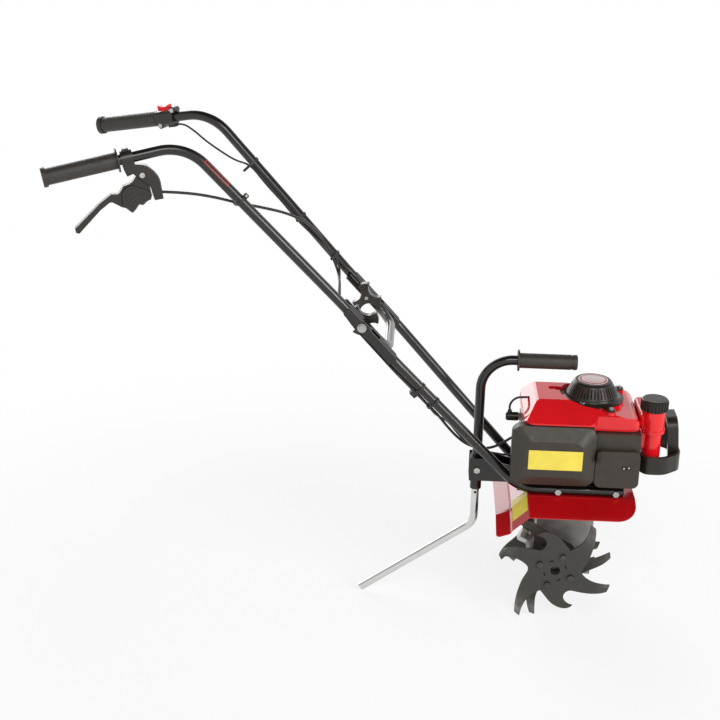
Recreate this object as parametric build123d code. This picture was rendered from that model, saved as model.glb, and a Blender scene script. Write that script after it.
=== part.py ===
from build123d import *
import os
from math import atan, atan2, cos, degrees, pi, radians, sin, tan

# Garden tiller: +X forward, +Y to the machine's left, +Z up, floor at Z = 0.
# X is measured from the tine axle while modelling; export moves it to the middle of the machine.

STANDING = (Align.CENTER, Align.CENTER, Align.MIN)
HANGING = (Align.CENTER, Align.CENTER, Align.MAX)

# Clearances
SNUG = 0.05
RUNNING = 0.05
CLEAR = 0.3
HOLE_CLEAR = 0.1

# Stance and tines
TINE_R = 130.0
CORE_R = 59.0
HOOK_R = 101.0
DISC_T = 4.0
OUTER_DISC_Y = 105.0
INNER_DISC_Y = 62.0
INNER_DISC_TURN = 10.0
LEFT_SET_TURN = 78.0
INNER_BLADES = 3
BEND_START = 75.0
BEND_OUT = 25.0
BEND_SPARE = 10.0
BEND_ZONE_W = 1.5 * CORE_R
BENT_BLADES = ((229, 1), (49, -1))
TINE_BOLTS = 4
DISC_STATIONS = (OUTER_DISC_Y, INNER_DISC_Y)

# Blade outlines: share of the way from the core to the tip circle, and angle in degrees.
# The hook's crown and throat give the height above its tip radius in place of the share.
HOOK_BACK = ((0.02, 59), (0.12, 72), (0.31, 85))
HOOK_CROWN = ((-2, 104), (0, 111), (-3, 117))
HOOK_THROAT = ((-12, 111.5),)
FLAT_BACK = ((0.22, 108.5), (0.06, 113), (0.03, 125), (0.15, 133), (0.7, 149.5), (1, 158))
FLAT_TIP = ((1, 158), (1, 162), (1, 166))
FLAT_FRONT = ((1, 166), (0.5, 163.5), (0.22, 166.5), (0.04, 176), (0.19, 196), (0.41, 208), (0.72, 219),
              (1, 227))
BENT_TIP = ((1, 227), (1, 230.5), (1, 234))
BENT_FRONT = ((1, 234), (0.6, 231), (0.25, 233), (0.02, 239))
INNER_BACK = ((0, -68), (0.06, -46), (0.38, -22), (0.62, -14.5), (1, -3))
INNER_TIP = ((1, -3), (1, 0), (1, 3))
INNER_FRONT = ((1, 3), (0.68, -0.5), (0.34, -2), (0.1, 8), (0, 30))
INNER_ROOT = 41

# Axle, hubs and bolts
AXLE_Z = TINE_R
AXLE_R = 10.0
AXLE_END_Y = 80.0
HUB_R = 22.0
HUB_START_Y = 33.0
HUB_SOCKET_R = 11.0
HUB_FLANGE_R = 49.0
HUB_FLANGE_T = 5.0
TINE_BOLT_PCR = 39.0
TINE_BOLT_TURN = 66.0
M8_R = 4.0
M8_HEAD_AF = 13.0
M8_HEAD_T = 5.5
M8_NUT_T = 6.5

# Worm drive
MODULE = 2.5
WHEEL_TEETH = 40
WORM_PITCH_R = 14.0
WORM_ADDENDUM = 2.0
WORM_DEDENDUM = 2.7
WORM_TURNS = 4.5
WORM_LENGTH = 40.0
WORM_PHASE = 270.0
WHEEL_W = 12.0
WHEEL_TOOTH_FOOT = 0.36
WHEEL_TOOTH_TIP = 0.13
THREAD_FOOT = 0.25
THREAD_TIP = 0.11
THREAD_SINK = 0.4
WORM_SHAFT_R = 7.5
WORM_TIP_R = 6.0
WHEEL_PITCH_R = MODULE * WHEEL_TEETH / 2
CRANK_X = WHEEL_PITCH_R + WORM_PITCH_R

# Gearcase and clutch housing
CASE_WALL = 5.0
CASE_HALF_W = 30.0
CASE_TOP_Z = 226.0
CASE_REAR_X = -42.0
CASE_COLUMN_R = 24.0
CASE_FOOT_Z = 84.0
WORM_CAVITY_R = 18.5
AXLE_BEARING_R = 21.0
AXLE_BEARING_W = 10.0
WORM_BEARING_R = 14.0
WORM_BEARING_W = 9.0
PLUG_ANGLE = 155.0
PLUG_AF = 26.0
PLUG_HEAD = 22.0
PLUG_BOSS_R = 15.6
WHEEL_ROOM = 1.8
BELL_R = 40.0
BELL_WALL = 3.5
BELL_FLOOR = 12.0
BELL_FLANGE_R = 56.0
BELL_FLANGE_T = 6.0
DRUM_R = 34.0
DRUM_WALL = 2.5
DRUM_FLOOR_Z = 246.0
DRUM_H = 38.0
SHOE_GAP = 1.0
SHOE_H = 24.0
SHOE_T = 9.0
SHOE_SPLIT = 8.0
SHOE_ARM_W = 10.0
SHOE_HUB_R = 14.4
DECK_BOLT_R = 48.0

# Handle tubes
TUBE_R = 11.0
TUBE_WALL = 2.0
RAIL_Y = 76.0
RAIL_Z = 319.0
RAIL_FRONT_X = 140.0
RAIL_BOLT_X = (124.0, -5.0)
LOW_BEND_X = -90.434
LOW_BEND_R = 90.0
HANDLE_SLOPE = 47.1
JOINT_REACH = 530.079
UPPER_REACH = 534.0
JOINT_Y = 122.0
JOINT_LEVEL_LOW = 115.0
JOINT_LEVEL_HIGH = 70.0
FLARE_BEND_R = 200.0
HIGH_BEND_Y = 172.0
HIGH_BEND_R = 100.0
GRIP_RUN_BACK = 268.0
GRIP_RUN_OUT = 93.0
GRIP_RUN_DROP = 55.0
GRIP_LEN = 150.0
GRIP_R = 17.0
GRIP_FLANGE_R = 20.0
GRIP_FLANGE_T = 5.0
GRIP_CAP_T = 4.0
GRIP_STOP_R = 24.5
GRIP_STOP_T = 3.0

# Folding joint of the handle
PLATE_UP = 52.0
PLATE_DOWN = 105.0
PLATE_W = 20.0
PLATE_T = 3.0
PLATE_CORNER = 8.0
LOWER_TUBE_GAP = 45.0
UPPER_TUBE_TAIL = 20.0
JOINT_HEAD_R = 10.0
JOINT_HEAD_T = 2.0
BRACE_R = 10.0
BRACE_UP = 62.0
BRACE_DOWN = 84.0
BRACE_BEND_R = 38.0
KNOB_R = 34.0
KNOB_BITE_R = 21.5
KNOB_BITE_REACH = 35.0
KNOB_T = 18.0
KNOB_ROUND = 2.5
KNOB_ARMS = 3
LEFT_KNOB_TURN = -30.0

# Engine base and fender
SHEET = 2.0
DECK_T = 4.0
DECK_REAR_X = -95.0
DECK_FRONT_X = 145.0
DECK_SIDE_H = 25.0
FENDER_FLAT_Y = 88.0
FENDER_EDGE_Y = 150.0
FENDER_DROP = 25.0
FENDER_FRONT_X = 168.0
FENDER_FOLD_X = -70.0
FENDER_FALLS = ((36.0, 34.0), (4.0, 7.0), (31.0, 11.0))
FENDER_FRONT_CORNER = 45.0
FENDER_REAR_CORNER = 10.0

# Rear bracket, transport handle and drag stake
POST_X = -186.0
POST_FOOT_Z = 318.0
POST_BOLT_Z = 336.0
POST_BEND_R = 70.0
CARRY_Z = 597.0
CARRY_END_X = 20.0
CARRY_GRIP_REAR_X = -107.0
CARRY_GRIP_CAP = 6.0
CARRY_FLANGE_R = 24.0
CARRY_FLANGE_T = 4.0
CARRY_GROOVE_INSET = 14.0
CARRY_GROOVE_W = 4.0
CARRY_GROOVE_DEPTH = 1.2
BRACKET_REAR_X = -203.0
BRACKET_HALF_W = 25.0
BRACKET_LOW_Z = 309.0
BRACKET_TOP_Z = 364.0
BRACKET_FRONT_TOP_Z = 346.0
BRACKET_T = 3.0
COLLAR_R = 15.0
SOCKET_R = 13.0
SOCKET_LOW_Z = 281.0
STAKE_R = 9.0
STAKE_KNEE_Z = 192.0
STAKE_BEND_R = 38.0
STAKE_FOOT_X = -446.0
STAKE_HOLE_R = 3.3
STAKE_HOLE_Z = 272.0

# Engine
BLOCK_HALF_Y = 50.0
BLOCK_REAR_X = 8.0
BLOCK_FRONT_X = 128.0
BLOCK_TOP_Z = 460.0
CYL_Z = 432.0
CYL_REAR_X = -92.0
CYL_R = 30.0
FIN_HALF = 42.0
FIN_RISE = 32.0
FIN_T = 3.0
FIN_COUNT = 9
JOURNAL_R = 12.5
CRANK_LOW_Z = 256.0
CRANK_TOP_Z = 494.0
CRANK_STUB_R = 9.0
CRANK_CAVITY_R = 36.0
CRANK_CAVITY_H = 44.0
CRANK_WEB_R = 32.0
CRANK_WEB_T = 9.0
CRANK_PIN_R = 9.0
CRANK_THROW = 18.0
FLYWHEEL_R = 60.0
FLYWHEEL_Z = 466.0
FLYWHEEL_T = 10.0
FAN_H = 14.0
FAN_BLADES = 18
FAN_BLADE_T = 3.0
SHROUD_REAR_X = -92.0
SHROUD_CREST_X = -62.0
SHROUD_FLAT_X = 4.0
SHROUD_FRONT_X = 150.0
SHROUD_NOSE_X = 166.0
SHROUD_LOW_Z = 474.0
SHROUD_EDGE_Z = 488.0
SHROUD_EDGE_Y = 94.0
SHROUD_SLOPE_Y = 84.0
SHROUD_SLOPE_Z = 500.0
SHROUD_TOP_Z = 516.0
SHROUD_CREST_Z = 528.0
SHROUD_TOP_Y = 54.0
SHROUD_REAR_Z = 492.0
SHROUD_NOSE_Z = 490.0
SHROUD_FRONT_Z = 503.0
SHROUD_CORNER = 24.0
SHROUD_ROUND = 14.0
SHROUD_LIP_Y = 118.0
SHROUD_LIP_Z = 495.0
SHROUD_LIP_LOW_Z = 491.5
SHROUD_LIP_FRONT_X = 70.0
LAND_MARGIN = 2.0
SHROUD_WALL = 2.5
INLET_R = 54.0
DOME_R = 70.0
DOME_TOP_R = 39.5
DOME_TOP_Z = 558.0
DOME_RIM_H = 3.0
DOME_FLARE_R = 58.0
DOME_FLARE_H = 12.0
DOME_CROWN = 4.0
DOME_WALL = 2.5
DOME_SLOTS = 44
DOME_SLOT_W = 2.4
EAR_R = 9.0
EAR_REACH = 88.0
EAR_T = 4.0
EAR_ANGLES = (40.0, 168.0, 293.0)
SCREW_R = 2.5
SCREW_HEAD_R = 5.0
SCREW_HEAD_T = 3.5
SCREW_LEN = 8.0
PULLEY_R = 30.0
PULLEY_GROOVE_R = 27.0
PULLEY_Z = 505.0
PULLEY_T = 12.0
PULLEY_POST_R = 6.0
ROPE_R = 2.0
ROPE_GUIDE_R = 4.0
STARTER_GRIP_Y = 98.0
STARTER_GRIP_LEN = 30.0
STARTER_GRIP_W = 36.0
STARTER_GRIP_H = 20.0
STARTER_GRIP_ROUND = 7.0

# Fuel tank and cap
TANK_REAR_X = 132.0
TANK_FRONT_X = 200.0
TANK_HALF_Y = 58.0
TANK_LOW_Z = 416.0
TANK_TOP_Z = 470.0
TANK_WALL = 3.0
SHOULDER_REAR_X = 167.0
SHOULDER_TOP_Z = 500.0
NECK_X = 198.0
NECK_Y = -45.0
NECK_R = 21.5
NECK_LOW_Z = 389.0
NECK_TOP_Z = 526.0
NECK_RING_R = 28.0
NECK_SHELL_R = 26.0
NECK_SHELL_TOP_Z = 509.0
NECK_RING_Z = 458.0
NECK_RING_H = 8.0
CAP_R = 31.0
CAP_LOW_Z = 511.0
CAP_TOP_Z = 536.0
CAP_RIBS = 24
CAP_RIB_R = 2.0

# Air cleaner, side cover, carburettor, muffler, guard
AIR_REAR_X = -117.0
AIR_FRONT_X = 67.0
AIR_LOW_Z = 351.0
AIR_TOP_Z = 490.0
AIR_BACK_Y = 97.0
AIR_STEP_Y = 122.0
AIR_FACE_Y = 142.0
AIR_CORNER = 22.0
AIR_BEVEL = 28.0
AIR_WALL = 3.0
AIR_PLATE_T = 3.5
AIR_RIM = 8.0
FILTER_MARGIN = 20.0
FILTER_T = 26.0
STANDOFF_R = 6.0
INTAKE_X = -40.0
INTAKE_R = 14.0
INTAKE_BORE_R = 10.0
CARB_W = 44.0
CARB_H = 35.2
CARB_INNER_Y = 56.0
CARB_OUTER_Y = 74.0
SIDE_REAR_X = 69.0
SIDE_FRONT_X = 166.0
SIDE_LOW_Z = 349.0
SIDE_STEP_Z = 436.0
SIDE_TOP_Z = 472.0
SIDE_FACE_Y = 120.0
SIDE_LEDGE_Y = 108.0
SIDE_BACK_Y = 72.0
SIDE_CORNER = 14.0
MUFFLER_X = (-40.0, 72.0)
MUFFLER_Y = (64.0, 118.0)
MUFFLER_Z = (350.0, 456.0)
MUFFLER_CORNER = 16.0
MUFFLER_PORT_R = 12.0
GUARD_T = 9.0
GUARD_LOW_Z = 372.0
GUARD_H = 40.0
GUARD_Y = 88.0
GUARD_FRONT_X = 260.0
GUARD_SIDE_X = 184.0
GUARD_STEP = (170.0, 60.0)
GUARD_BENDS = (25.0, 15.0, 38.0, 28.0)
GUARD_NOSE_X = 222.0
GUARD_NOSE_Y = 56.0
GUARD_FOOT_Y = 40.0
ARCH_HALF_Y = 38.0
ARCH_TOP_Z = 478.0
ARCH_X = 251.0
ARCH_LEAN = 8.0
ARCH_DEPTH = 24.0
ARCH_T = 12.0
ARCH_BEND_R = 20.0
PLUG_Z = 462.0
SPARK_R = 6.0
SPARK_LEN = 26.0
SPARK_NUT_AF = 15.6
SPARK_CAP_R = 10.0
SPARK_CAP_LEN = 28.0
LEAD_R = 2.5
LEAD_FOOT = 19.6
LEAD_LOOP_R = 25.0
LEAD_LEAN = 6.5
LEAD_RISE = 29.0

# Controls
CLAMP_INSET = 20.0
CLAMP_X = (-9.0, 15.0)
CLAMP_R = 17.0
CLAMP_BLOCK = ((14.0, -8.0), (-10.0, -8.0), (-10.0, -14.0), (-8.0, -20.0), (-3.5, -31.0), (10.5, -33.7),
               (14.4, -19.0))
CLAMP_LUG = ((-4.0, 8.0, -6.0), (10.0, 21.0, 6.0))
LEVER_PIVOT = (-18.6, -37.5)
LEVER_PIN_R = 4.0
LEVER_HEAD_R = 5.4
LEVER_T = 14.0
LEVER_HUB_R = 11.0
LEVER_OUTLINE = ((-6.0, -39.0), (1.0, -47.0), (10.0, -51.0), (22.0, -52.5), (32.0, -63.5), (37.0, -66.0),
                 (49.5, -63.0),
                 (74.0, -75.0), (136.0, -115.0), (136.0, -124.0), (130.0, -127.0), (78.0, -90.0),
                 (56.0, -79.0),
                 (51.0, -80.0), (35.0, -94.0), (27.0, -98.0), (19.0, -108.5), (15.5, -110.5), (8.0, -105.0),
                 (-0.3, -97.0), (-8.0, -100.0), (-18.0, -94.0), (-26.0, -92.5), (-30.0, -83.5),
                 (-29.5, -75.0))
LEVER_BLOCK = ((4.0, -54.0), (10.0, -55.0), (20.0, -57.0), (29.0, -66.0), (33.0, -90.0), (26.0, -95.0),
               (18.0, -105.0),
               (15.0, -107.0), (8.0, -102.0), (0.0, -94.0), (-8.0, -97.0), (-17.0, -91.0), (-24.0, -89.0),
               (-26.5, -83.0), (-26.0, -74.0), (-20.0, -70.0))
LEVER_BLOCK_T = 22.0
LEVER_ROUND = 2.0
HOUSING_T = 26.0
HOUSING_OUTLINE = ((-14.0, -15.0), (-6.0, -13.0), (-2.5, -32.5), (-29.0, -64.0), (-31.5, -70.0),
                   (-33.0, -95.0),
                   (-51.0, -96.0), (-52.5, -64.0))
HOUSING_BOW = (-42.0, -31.5)
HOUSING_ROUND = 3.0
HOUSING_CABLE = (-45.0, -82.0)
SLOT_SIDE_CLEAR = 0.4
SWITCH_GAP = 1.0
SWITCH_LEN = 46.0
SWITCH_H = 32.0
SWITCH_W = 34.0
SWITCH_CORNER = 9.0
SWITCH_LUGS = ((-24.0, 16.0), (12.0, -15.0))
SWITCH_LUG_R = 7.5
SWITCH_LUG_T = 22.0
SWITCH_OUTLET = ((-23.0, -22.0, -6.0), (-4.0, -8.0, 6.0))
SWITCH_WIRE = (-12.0, -17.0)
STOP_KNOB_LEN = 31.0
STOP_KNOB_W = 15.0
STOP_KNOB_H = 13.7
STOP_WAIST = 9.0
STOP_DIP_H = 9.0
STOP_LIFT = 1.5
STOP_ROUND = 2.0
STOP_STEM_R = 5.0
STOP_STEM_LEN = 3.0

# Cables
THROTTLE_R = 3.0
STOP_R = 2.2
BEND_SHARE = 0.45
TIE_W = 6.0
TIE_T = 1.4
TIE_SLACK = 0.6
TIE_REACH = 45.0
ROUTE_STEPS = 4000
LOWER_TIES = (191.0, 238.0)
RIGHT_TIE = 376.0
LEFT_TIES = (391.0, 228.0, 112.0)

UP = Vector(-cos(radians(HANDLE_SLOPE)), 0, sin(radians(HANDLE_SLOPE)))
UNDER = Vector(-sin(radians(HANDLE_SLOPE)), 0, -cos(radians(HANDLE_SLOPE)))
FENDER_TOP_Z = RAIL_Z - TUBE_R
DECK_TOP_Z = FENDER_TOP_Z + DECK_T
LOW_BEND = Vector(LOW_BEND_X, RAIL_Y, RAIL_Z)
JOINT = LOW_BEND + UP * JOINT_REACH + Vector(0, JOINT_Y - RAIL_Y, 0)
HIGH_BEND = LOW_BEND + UP * (JOINT_REACH + UPPER_REACH) + Vector(0, HIGH_BEND_Y - RAIL_Y, 0)
GRIP_END = HIGH_BEND + Vector(-GRIP_RUN_BACK, GRIP_RUN_OUT, -GRIP_RUN_DROP)
GRIP_DIR = (GRIP_END - HIGH_BEND).normalized()
GRIP_SIDE = Vector(GRIP_DIR.Y, -GRIP_DIR.X, 0).normalized()
PLATE_IN = TUBE_R + CLEAR
PLATE_OUT = PLATE_IN + PLATE_T
BRACE_Y = JOINT_Y - PLATE_OUT - BRACE_R
KNOB_FACE_Y = BRACE_Y - BRACE_R - CLEAR
REAR_REACH = -GRIP_END.X + GRIP_CAP_T * -GRIP_DIR.X + GRIP_FLANGE_R * (1 - GRIP_DIR.X**2) ** 0.5
FRONT_REACH = GUARD_FRONT_X + GUARD_T / 2
ORIGIN_SHIFT = (REAR_REACH - FRONT_REACH) / 2


def mirrored(shape):
    """The same piece on the machine's other side."""
    return mirror(shape, about=Plane.XZ)


def pair(shape):
    """A left piece and its right twin, as separate solids."""
    return Compound(children=shape.solids() + mirrored(shape).solids())


def rod(path, radius):
    """A round bar along a path."""
    return sweep(Plane(path @ 0, z_dir=path % 0) * Circle(radius), path)


def pipe(path, radius, wall):
    """A round tube along a path."""
    return rod(path, radius) - rod(path, radius - wall)


def pin(start, end, radius):
    """A straight round bar between two points."""
    run = Vector(*end) - Vector(*start)
    return Plane(start, z_dir=run) * Cylinder(radius, run.length, align=STANDING)


def ring(outer, inner, height):
    """A flat ring standing on the local XY plane."""
    return extrude(Circle(outer) - Circle(inner), height)


def block(low, high):
    """A box between two corners."""
    size = [h - l for l, h in zip(low, high)]
    return Pos(*low) * Box(*size, align=(Align.MIN,) * 3)


def hexagon(across_flats):
    """A hexagon sketch of the given width across flats."""
    return RegularPolygon(across_flats / 2, 6, major_radius=False)


def hex_bolt(length):
    """An M8 hex bolt with its nut: head above local Z 0, nut ending at -length."""
    head = extrude(hexagon(M8_HEAD_AF), M8_HEAD_T)
    nut = Pos(0, 0, -length) * extrude(hexagon(M8_HEAD_AF), M8_NUT_T)
    return head + nut + Pos(0, 0, -length) * Cylinder(M8_R, length, align=STANDING)


def polar(radius, angle):
    """A point in the plane from a radius and an angle in degrees."""
    return radius * cos(radians(angle)), radius * sin(radians(angle))


def blade_point(share, angle):
    """A point on a blade: its share of the way from the core to the tip circle, at an angle."""
    return polar(CORE_R + share * (TINE_R - CORE_R), angle)


def outer_outline():
    """Six sickle blades round a core: a hook, a flat blade and a bent blade, twice over."""
    edges = []
    for turn in (0, 180):
        crown, throat = ([polar(HOOK_R + rise, angle + turn) for rise, angle in points]
                         for points in (HOOK_CROWN, HOOK_THROAT))
        back, flat_back, flat_tip, flat_front, bent_tip, bent_front = (
            [blade_point(share, angle + turn) for share, angle in points]
            for points in (HOOK_BACK, FLAT_BACK, FLAT_TIP, FLAT_FRONT, BENT_TIP, BENT_FRONT))
        edges += [Spline(*back, *crown), Spline(crown[-1], *throat, *flat_back), ThreePointArc(*flat_tip),
                  Spline(*flat_front), ThreePointArc(*bent_tip), Spline(*bent_front)]
    return make_face(edges)


def inner_outline():
    """Three long sickle blades round a core."""
    edges = []
    pitch = 360 / INNER_BLADES
    for blade in range(INNER_BLADES):
        turn = blade * pitch
        back, tip, front = ([blade_point(share, turn + angle) for share, angle in points]
                            for points in (INNER_BACK, INNER_TIP, INNER_FRONT))
        next_back = blade_point(0, turn + pitch + INNER_BACK[0][1])
        edges += [Spline(*back), ThreePointArc(*tip), Spline(*front),
                  ThreePointArc(front[-1], blade_point(0, turn + INNER_ROOT), next_back)]
    return make_face(edges)


def bent_strip(angle, way):
    """A sheet that curves out of the disc's plane along the given direction."""
    run = TINE_R - BEND_START
    sweep_angle = 2 * degrees(atan(BEND_OUT / run)) + BEND_SPARE
    bend_r = run / sin(2 * atan(BEND_OUT / run))
    spoke = Plane((0, 0, 0), x_dir=(*polar(1, angle), 0), z_dir=(*polar(1, angle - 90), 0))
    slices = []
    for radius in (bend_r + DISC_T / 2, bend_r - DISC_T / 2):
        points = [polar(radius, -90 + share * sweep_angle) for share in (0, 0.5, 1)]
        slices.append([(BEND_START + x, way * (y + bend_r)) for x, y in points])
    outer, inner = slices
    face = make_face([ThreePointArc(*outer), Line(outer[2], inner[2]), ThreePointArc(*inner),
                      Line(inner[0], outer[0])])
    return extrude(spoke * face, CORE_R, both=True)


def tine_disc(outline, bends):
    """A stamped tine disc, +Z facing outwards; bends lists each bent blade's direction and way."""
    flat = extrude(outline, DISC_T / 2, both=True)
    deep = extrude(outline, 2 * BEND_OUT, both=True)
    for angle, way in bends:
        zone = Rot(0, 0, angle) * Pos(BEND_START, 0, 0) * Box(
            2 * TINE_R, BEND_ZONE_W, 4 * BEND_OUT, align=(Align.MIN, Align.CENTER, Align.CENTER))
        flat = flat - zone + (deep & zone & bent_strip(angle, way))
    return flat - Cylinder(HUB_R + SNUG, 2 * DISC_T)


def disc_bolt_holes(depth):
    """The bolt circle that discs and hub flanges share."""
    places = PolarLocations(TINE_BOLT_PCR, TINE_BOLTS, start_angle=TINE_BOLT_TURN)
    return [place * Cylinder(M8_R + HOLE_CLEAR, depth) for place in places]


def on_axle(y):
    """A place on the left half of the axle, local Z outwards."""
    return Plane((0, y, AXLE_Z), x_dir=(-1, 0, 0), z_dir=(0, 1, 0))


def tine_discs_outer():
    # Seen from the machine's right, the stamped shape turns the same way on both sides.
    disc = tine_disc(outer_outline(), BENT_BLADES)
    return pair(right_axle_seat(OUTER_DISC_Y) * (disc - disc_bolt_holes(2 * DISC_T)))


def tine_discs_inner():
    disc = tine_disc(inner_outline(), ((360 - 360 / INNER_BLADES, 1),))
    seat = right_axle_seat(INNER_DISC_Y)
    holes = disc_bolt_holes(2 * DISC_T)
    right = seat * (Rot(0, 0, INNER_DISC_TURN) * disc - holes)
    left = mirrored(seat * (Rot(0, 0, INNER_DISC_TURN + LEFT_SET_TURN) * disc - holes))
    return Compound(children=right.solids() + left.solids())


def right_axle_seat(y):
    """A place on the right half of the axle, local X forward, local Z outwards."""
    return Plane((0, -y, AXLE_Z), x_dir=(1, 0, 0), z_dir=(0, -1, 0))


def tine_hubs():
    end_y = OUTER_DISC_Y + DISC_T / 2
    hub = pin((0, -HUB_START_Y, AXLE_Z), (0, -end_y, AXLE_Z), HUB_R)
    for y in DISC_STATIONS:
        flange = Cylinder(HUB_FLANGE_R, HUB_FLANGE_T, align=HANGING) - disc_bolt_holes(4 * HUB_FLANGE_T)
        hub += right_axle_seat(y - DISC_T / 2) * flange
    hub -= pin((0, 0, AXLE_Z), (0, -end_y, AXLE_Z), AXLE_R + SNUG)
    hub -= pin((0, -AXLE_END_Y, AXLE_Z), (0, -end_y - DISC_T, AXLE_Z), HUB_SOCKET_R)
    return pair(hub)


def tine_bolts():
    bolts = []
    grip = DISC_T + HUB_FLANGE_T + M8_NUT_T
    for y in DISC_STATIONS:
        for location in PolarLocations(TINE_BOLT_PCR, TINE_BOLTS, start_angle=TINE_BOLT_TURN):
            bolts += (right_axle_seat(y + DISC_T / 2) * location * hex_bolt(grip)).solids()
    return Compound(children=bolts + [solid for bolt in bolts for solid in mirrored(bolt).solids()])


def tine_axle():
    return pin((0, -AXLE_END_Y, AXLE_Z), (0, AXLE_END_Y, AXLE_Z), AXLE_R)


def worm_wheel():
    points = []
    for tooth in range(WHEEL_TEETH):
        for radius, share in ((WHEEL_PITCH_R - WORM_DEDENDUM, -WHEEL_TOOTH_FOOT),
                              (WHEEL_PITCH_R + WORM_ADDENDUM, -WHEEL_TOOTH_TIP),
                              (WHEEL_PITCH_R + WORM_ADDENDUM, WHEEL_TOOTH_TIP),
                              (WHEEL_PITCH_R - WORM_DEDENDUM, WHEEL_TOOTH_FOOT)):
            points.append(polar(radius, 360 * (tooth + share) / WHEEL_TEETH))
    wheel = extrude(make_face(Polyline(*points, close=True)), WHEEL_W / 2, both=True)
    return on_axle(0) * (wheel - Cylinder(AXLE_R + SNUG, 2 * WHEEL_W))


def worm_shaft():
    lead = pi * MODULE
    root_r = WORM_PITCH_R - WORM_DEDENDUM
    depth = WORM_PITCH_R + WORM_ADDENDUM - root_r + THREAD_SINK
    helix = Helix(pitch=lead, height=lead * WORM_TURNS, radius=root_r - THREAD_SINK)
    flank = make_face(Polyline((0, -lead * THREAD_FOOT), (depth, -lead * THREAD_TIP),
                               (depth, lead * THREAD_TIP),
                               (0, lead * THREAD_FOOT), close=True))
    thread = sweep(Plane(helix @ 0, x_dir=(1, 0, 0), z_dir=helix % 0) * flank, path=helix, is_frenet=True)
    worm = Cylinder(root_r, WORM_LENGTH) + Pos(0, 0, -lead * WORM_TURNS / 2) * thread
    shaft = Pos(CRANK_X, 0, AXLE_Z) * Rot(0, 0, WORM_PHASE) * worm
    shaft += pin((CRANK_X, 0, AXLE_Z), (CRANK_X, 0, DRUM_FLOOR_Z + DECK_T), WORM_SHAFT_R)
    return shaft + pin((CRANK_X, 0, CASE_FOOT_Z + CASE_WALL + CLEAR), (CRANK_X, 0, AXLE_Z), WORM_TIP_R)


def clutch_drum():
    cup = Cylinder(DRUM_R, DRUM_H, align=STANDING)
    cup -= Pos(0, 0, DECK_T) * Cylinder(DRUM_R - DRUM_WALL, DRUM_H, align=STANDING)
    cup -= Cylinder(WORM_SHAFT_R + SNUG, 2 * DRUM_H)
    return Pos(CRANK_X, 0, DRUM_FLOOR_Z) * cup


def clutch_shoes():
    reach = DRUM_R - DRUM_WALL - SHOE_GAP
    hub = Circle(SHOE_HUB_R)
    shoes = Circle(reach) - Circle(reach - SHOE_T) - Rectangle(SHOE_SPLIT, 3 * reach)
    arms = Rectangle(2 * reach - SHOE_T, SHOE_ARM_W)
    rotor = extrude(hub + shoes + arms - Circle(CRANK_STUB_R + SNUG), SHOE_H)
    return Pos(CRANK_X, 0, CRANK_LOW_Z) * rotor


def gearcase_half(side):
    cavity_r = WHEEL_PITCH_R + WORM_ADDENDUM + WHEEL_ROOM
    shape = Pos(0, AXLE_Z) * Circle(cavity_r + CASE_WALL)
    shape += Pos(CRANK_X, (CASE_FOOT_Z + CASE_TOP_Z) / 2) * Rectangle(2 * CASE_COLUMN_R,
                                                                      CASE_TOP_Z - CASE_FOOT_Z)
    shape += Polygon((CASE_REAR_X, CASE_TOP_Z), (CASE_REAR_X, AXLE_Z), (CRANK_X, AXLE_Z),
                     (CRANK_X, CASE_TOP_Z),
                     align=None)
    case = extrude(Plane.XZ * shape, CASE_HALF_W, both=True)
    plug_dir = polar(1, PLUG_ANGLE)
    boss_end = cavity_r + CASE_WALL + CASE_WALL
    case += pin((0, 0, AXLE_Z), (boss_end * plug_dir[0], 0, AXLE_Z + boss_end * plug_dir[1]), PLUG_BOSS_R)
    wheel_half = WHEEL_W / 2 + CASE_WALL
    case -= pin((0, -wheel_half, AXLE_Z), (0, wheel_half, AXLE_Z), cavity_r)
    case -= pin((0, -2 * CASE_HALF_W, AXLE_Z), (0, 2 * CASE_HALF_W, AXLE_Z), AXLE_R + 2 * CLEAR)
    for way in (-1, 1):
        seat = way * (CASE_HALF_W - AXLE_BEARING_W)
        case -= pin((0, seat, AXLE_Z), (0, 2 * seat, AXLE_Z), AXLE_BEARING_R + SNUG)
    floor_z = CASE_FOOT_Z + CASE_WALL
    case -= pin((CRANK_X, 0, floor_z), (CRANK_X, 0, AXLE_Z), WORM_BEARING_R + SNUG)
    case -= pin((CRANK_X, 0, floor_z + WORM_BEARING_W), (CRANK_X, 0, CASE_TOP_Z + CASE_WALL), WORM_CAVITY_R)
    half = Box(*[4 * CASE_TOP_Z] * 3, align=(Align.CENTER, Align.MIN, Align.CENTER))
    return case & (half if side > 0 else mirrored(half))


def gearcase_bearings():
    axle = on_axle(CASE_HALF_W - AXLE_BEARING_W) * ring(AXLE_BEARING_R, AXLE_R + RUNNING, AXLE_BEARING_W)
    low = Pos(CRANK_X, 0, CASE_FOOT_Z + CASE_WALL) * ring(WORM_BEARING_R, WORM_TIP_R + RUNNING,
                                                          WORM_BEARING_W)
    high = Pos(CRANK_X, 0, CASE_TOP_Z) * ring(WORM_BEARING_R, WORM_SHAFT_R + RUNNING, WORM_BEARING_W)
    return Compound(children=pair(axle).solids() + low.solids() + high.solids())


def oil_plug():
    base = WHEEL_PITCH_R + WORM_ADDENDUM + WHEEL_ROOM + 2 * CASE_WALL
    head = extrude(hexagon(PLUG_AF), PLUG_HEAD)
    head = chamfer(head.faces().sort_by(Axis.Z)[-1].edges(), CASE_WALL / 3)
    direction = polar(1, PLUG_ANGLE)
    seat = Plane((base * direction[0], 0, AXLE_Z + base * direction[1]), x_dir=(0, 1, 0),
                 z_dir=(direction[0], 0, direction[1]))
    return seat * head


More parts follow.
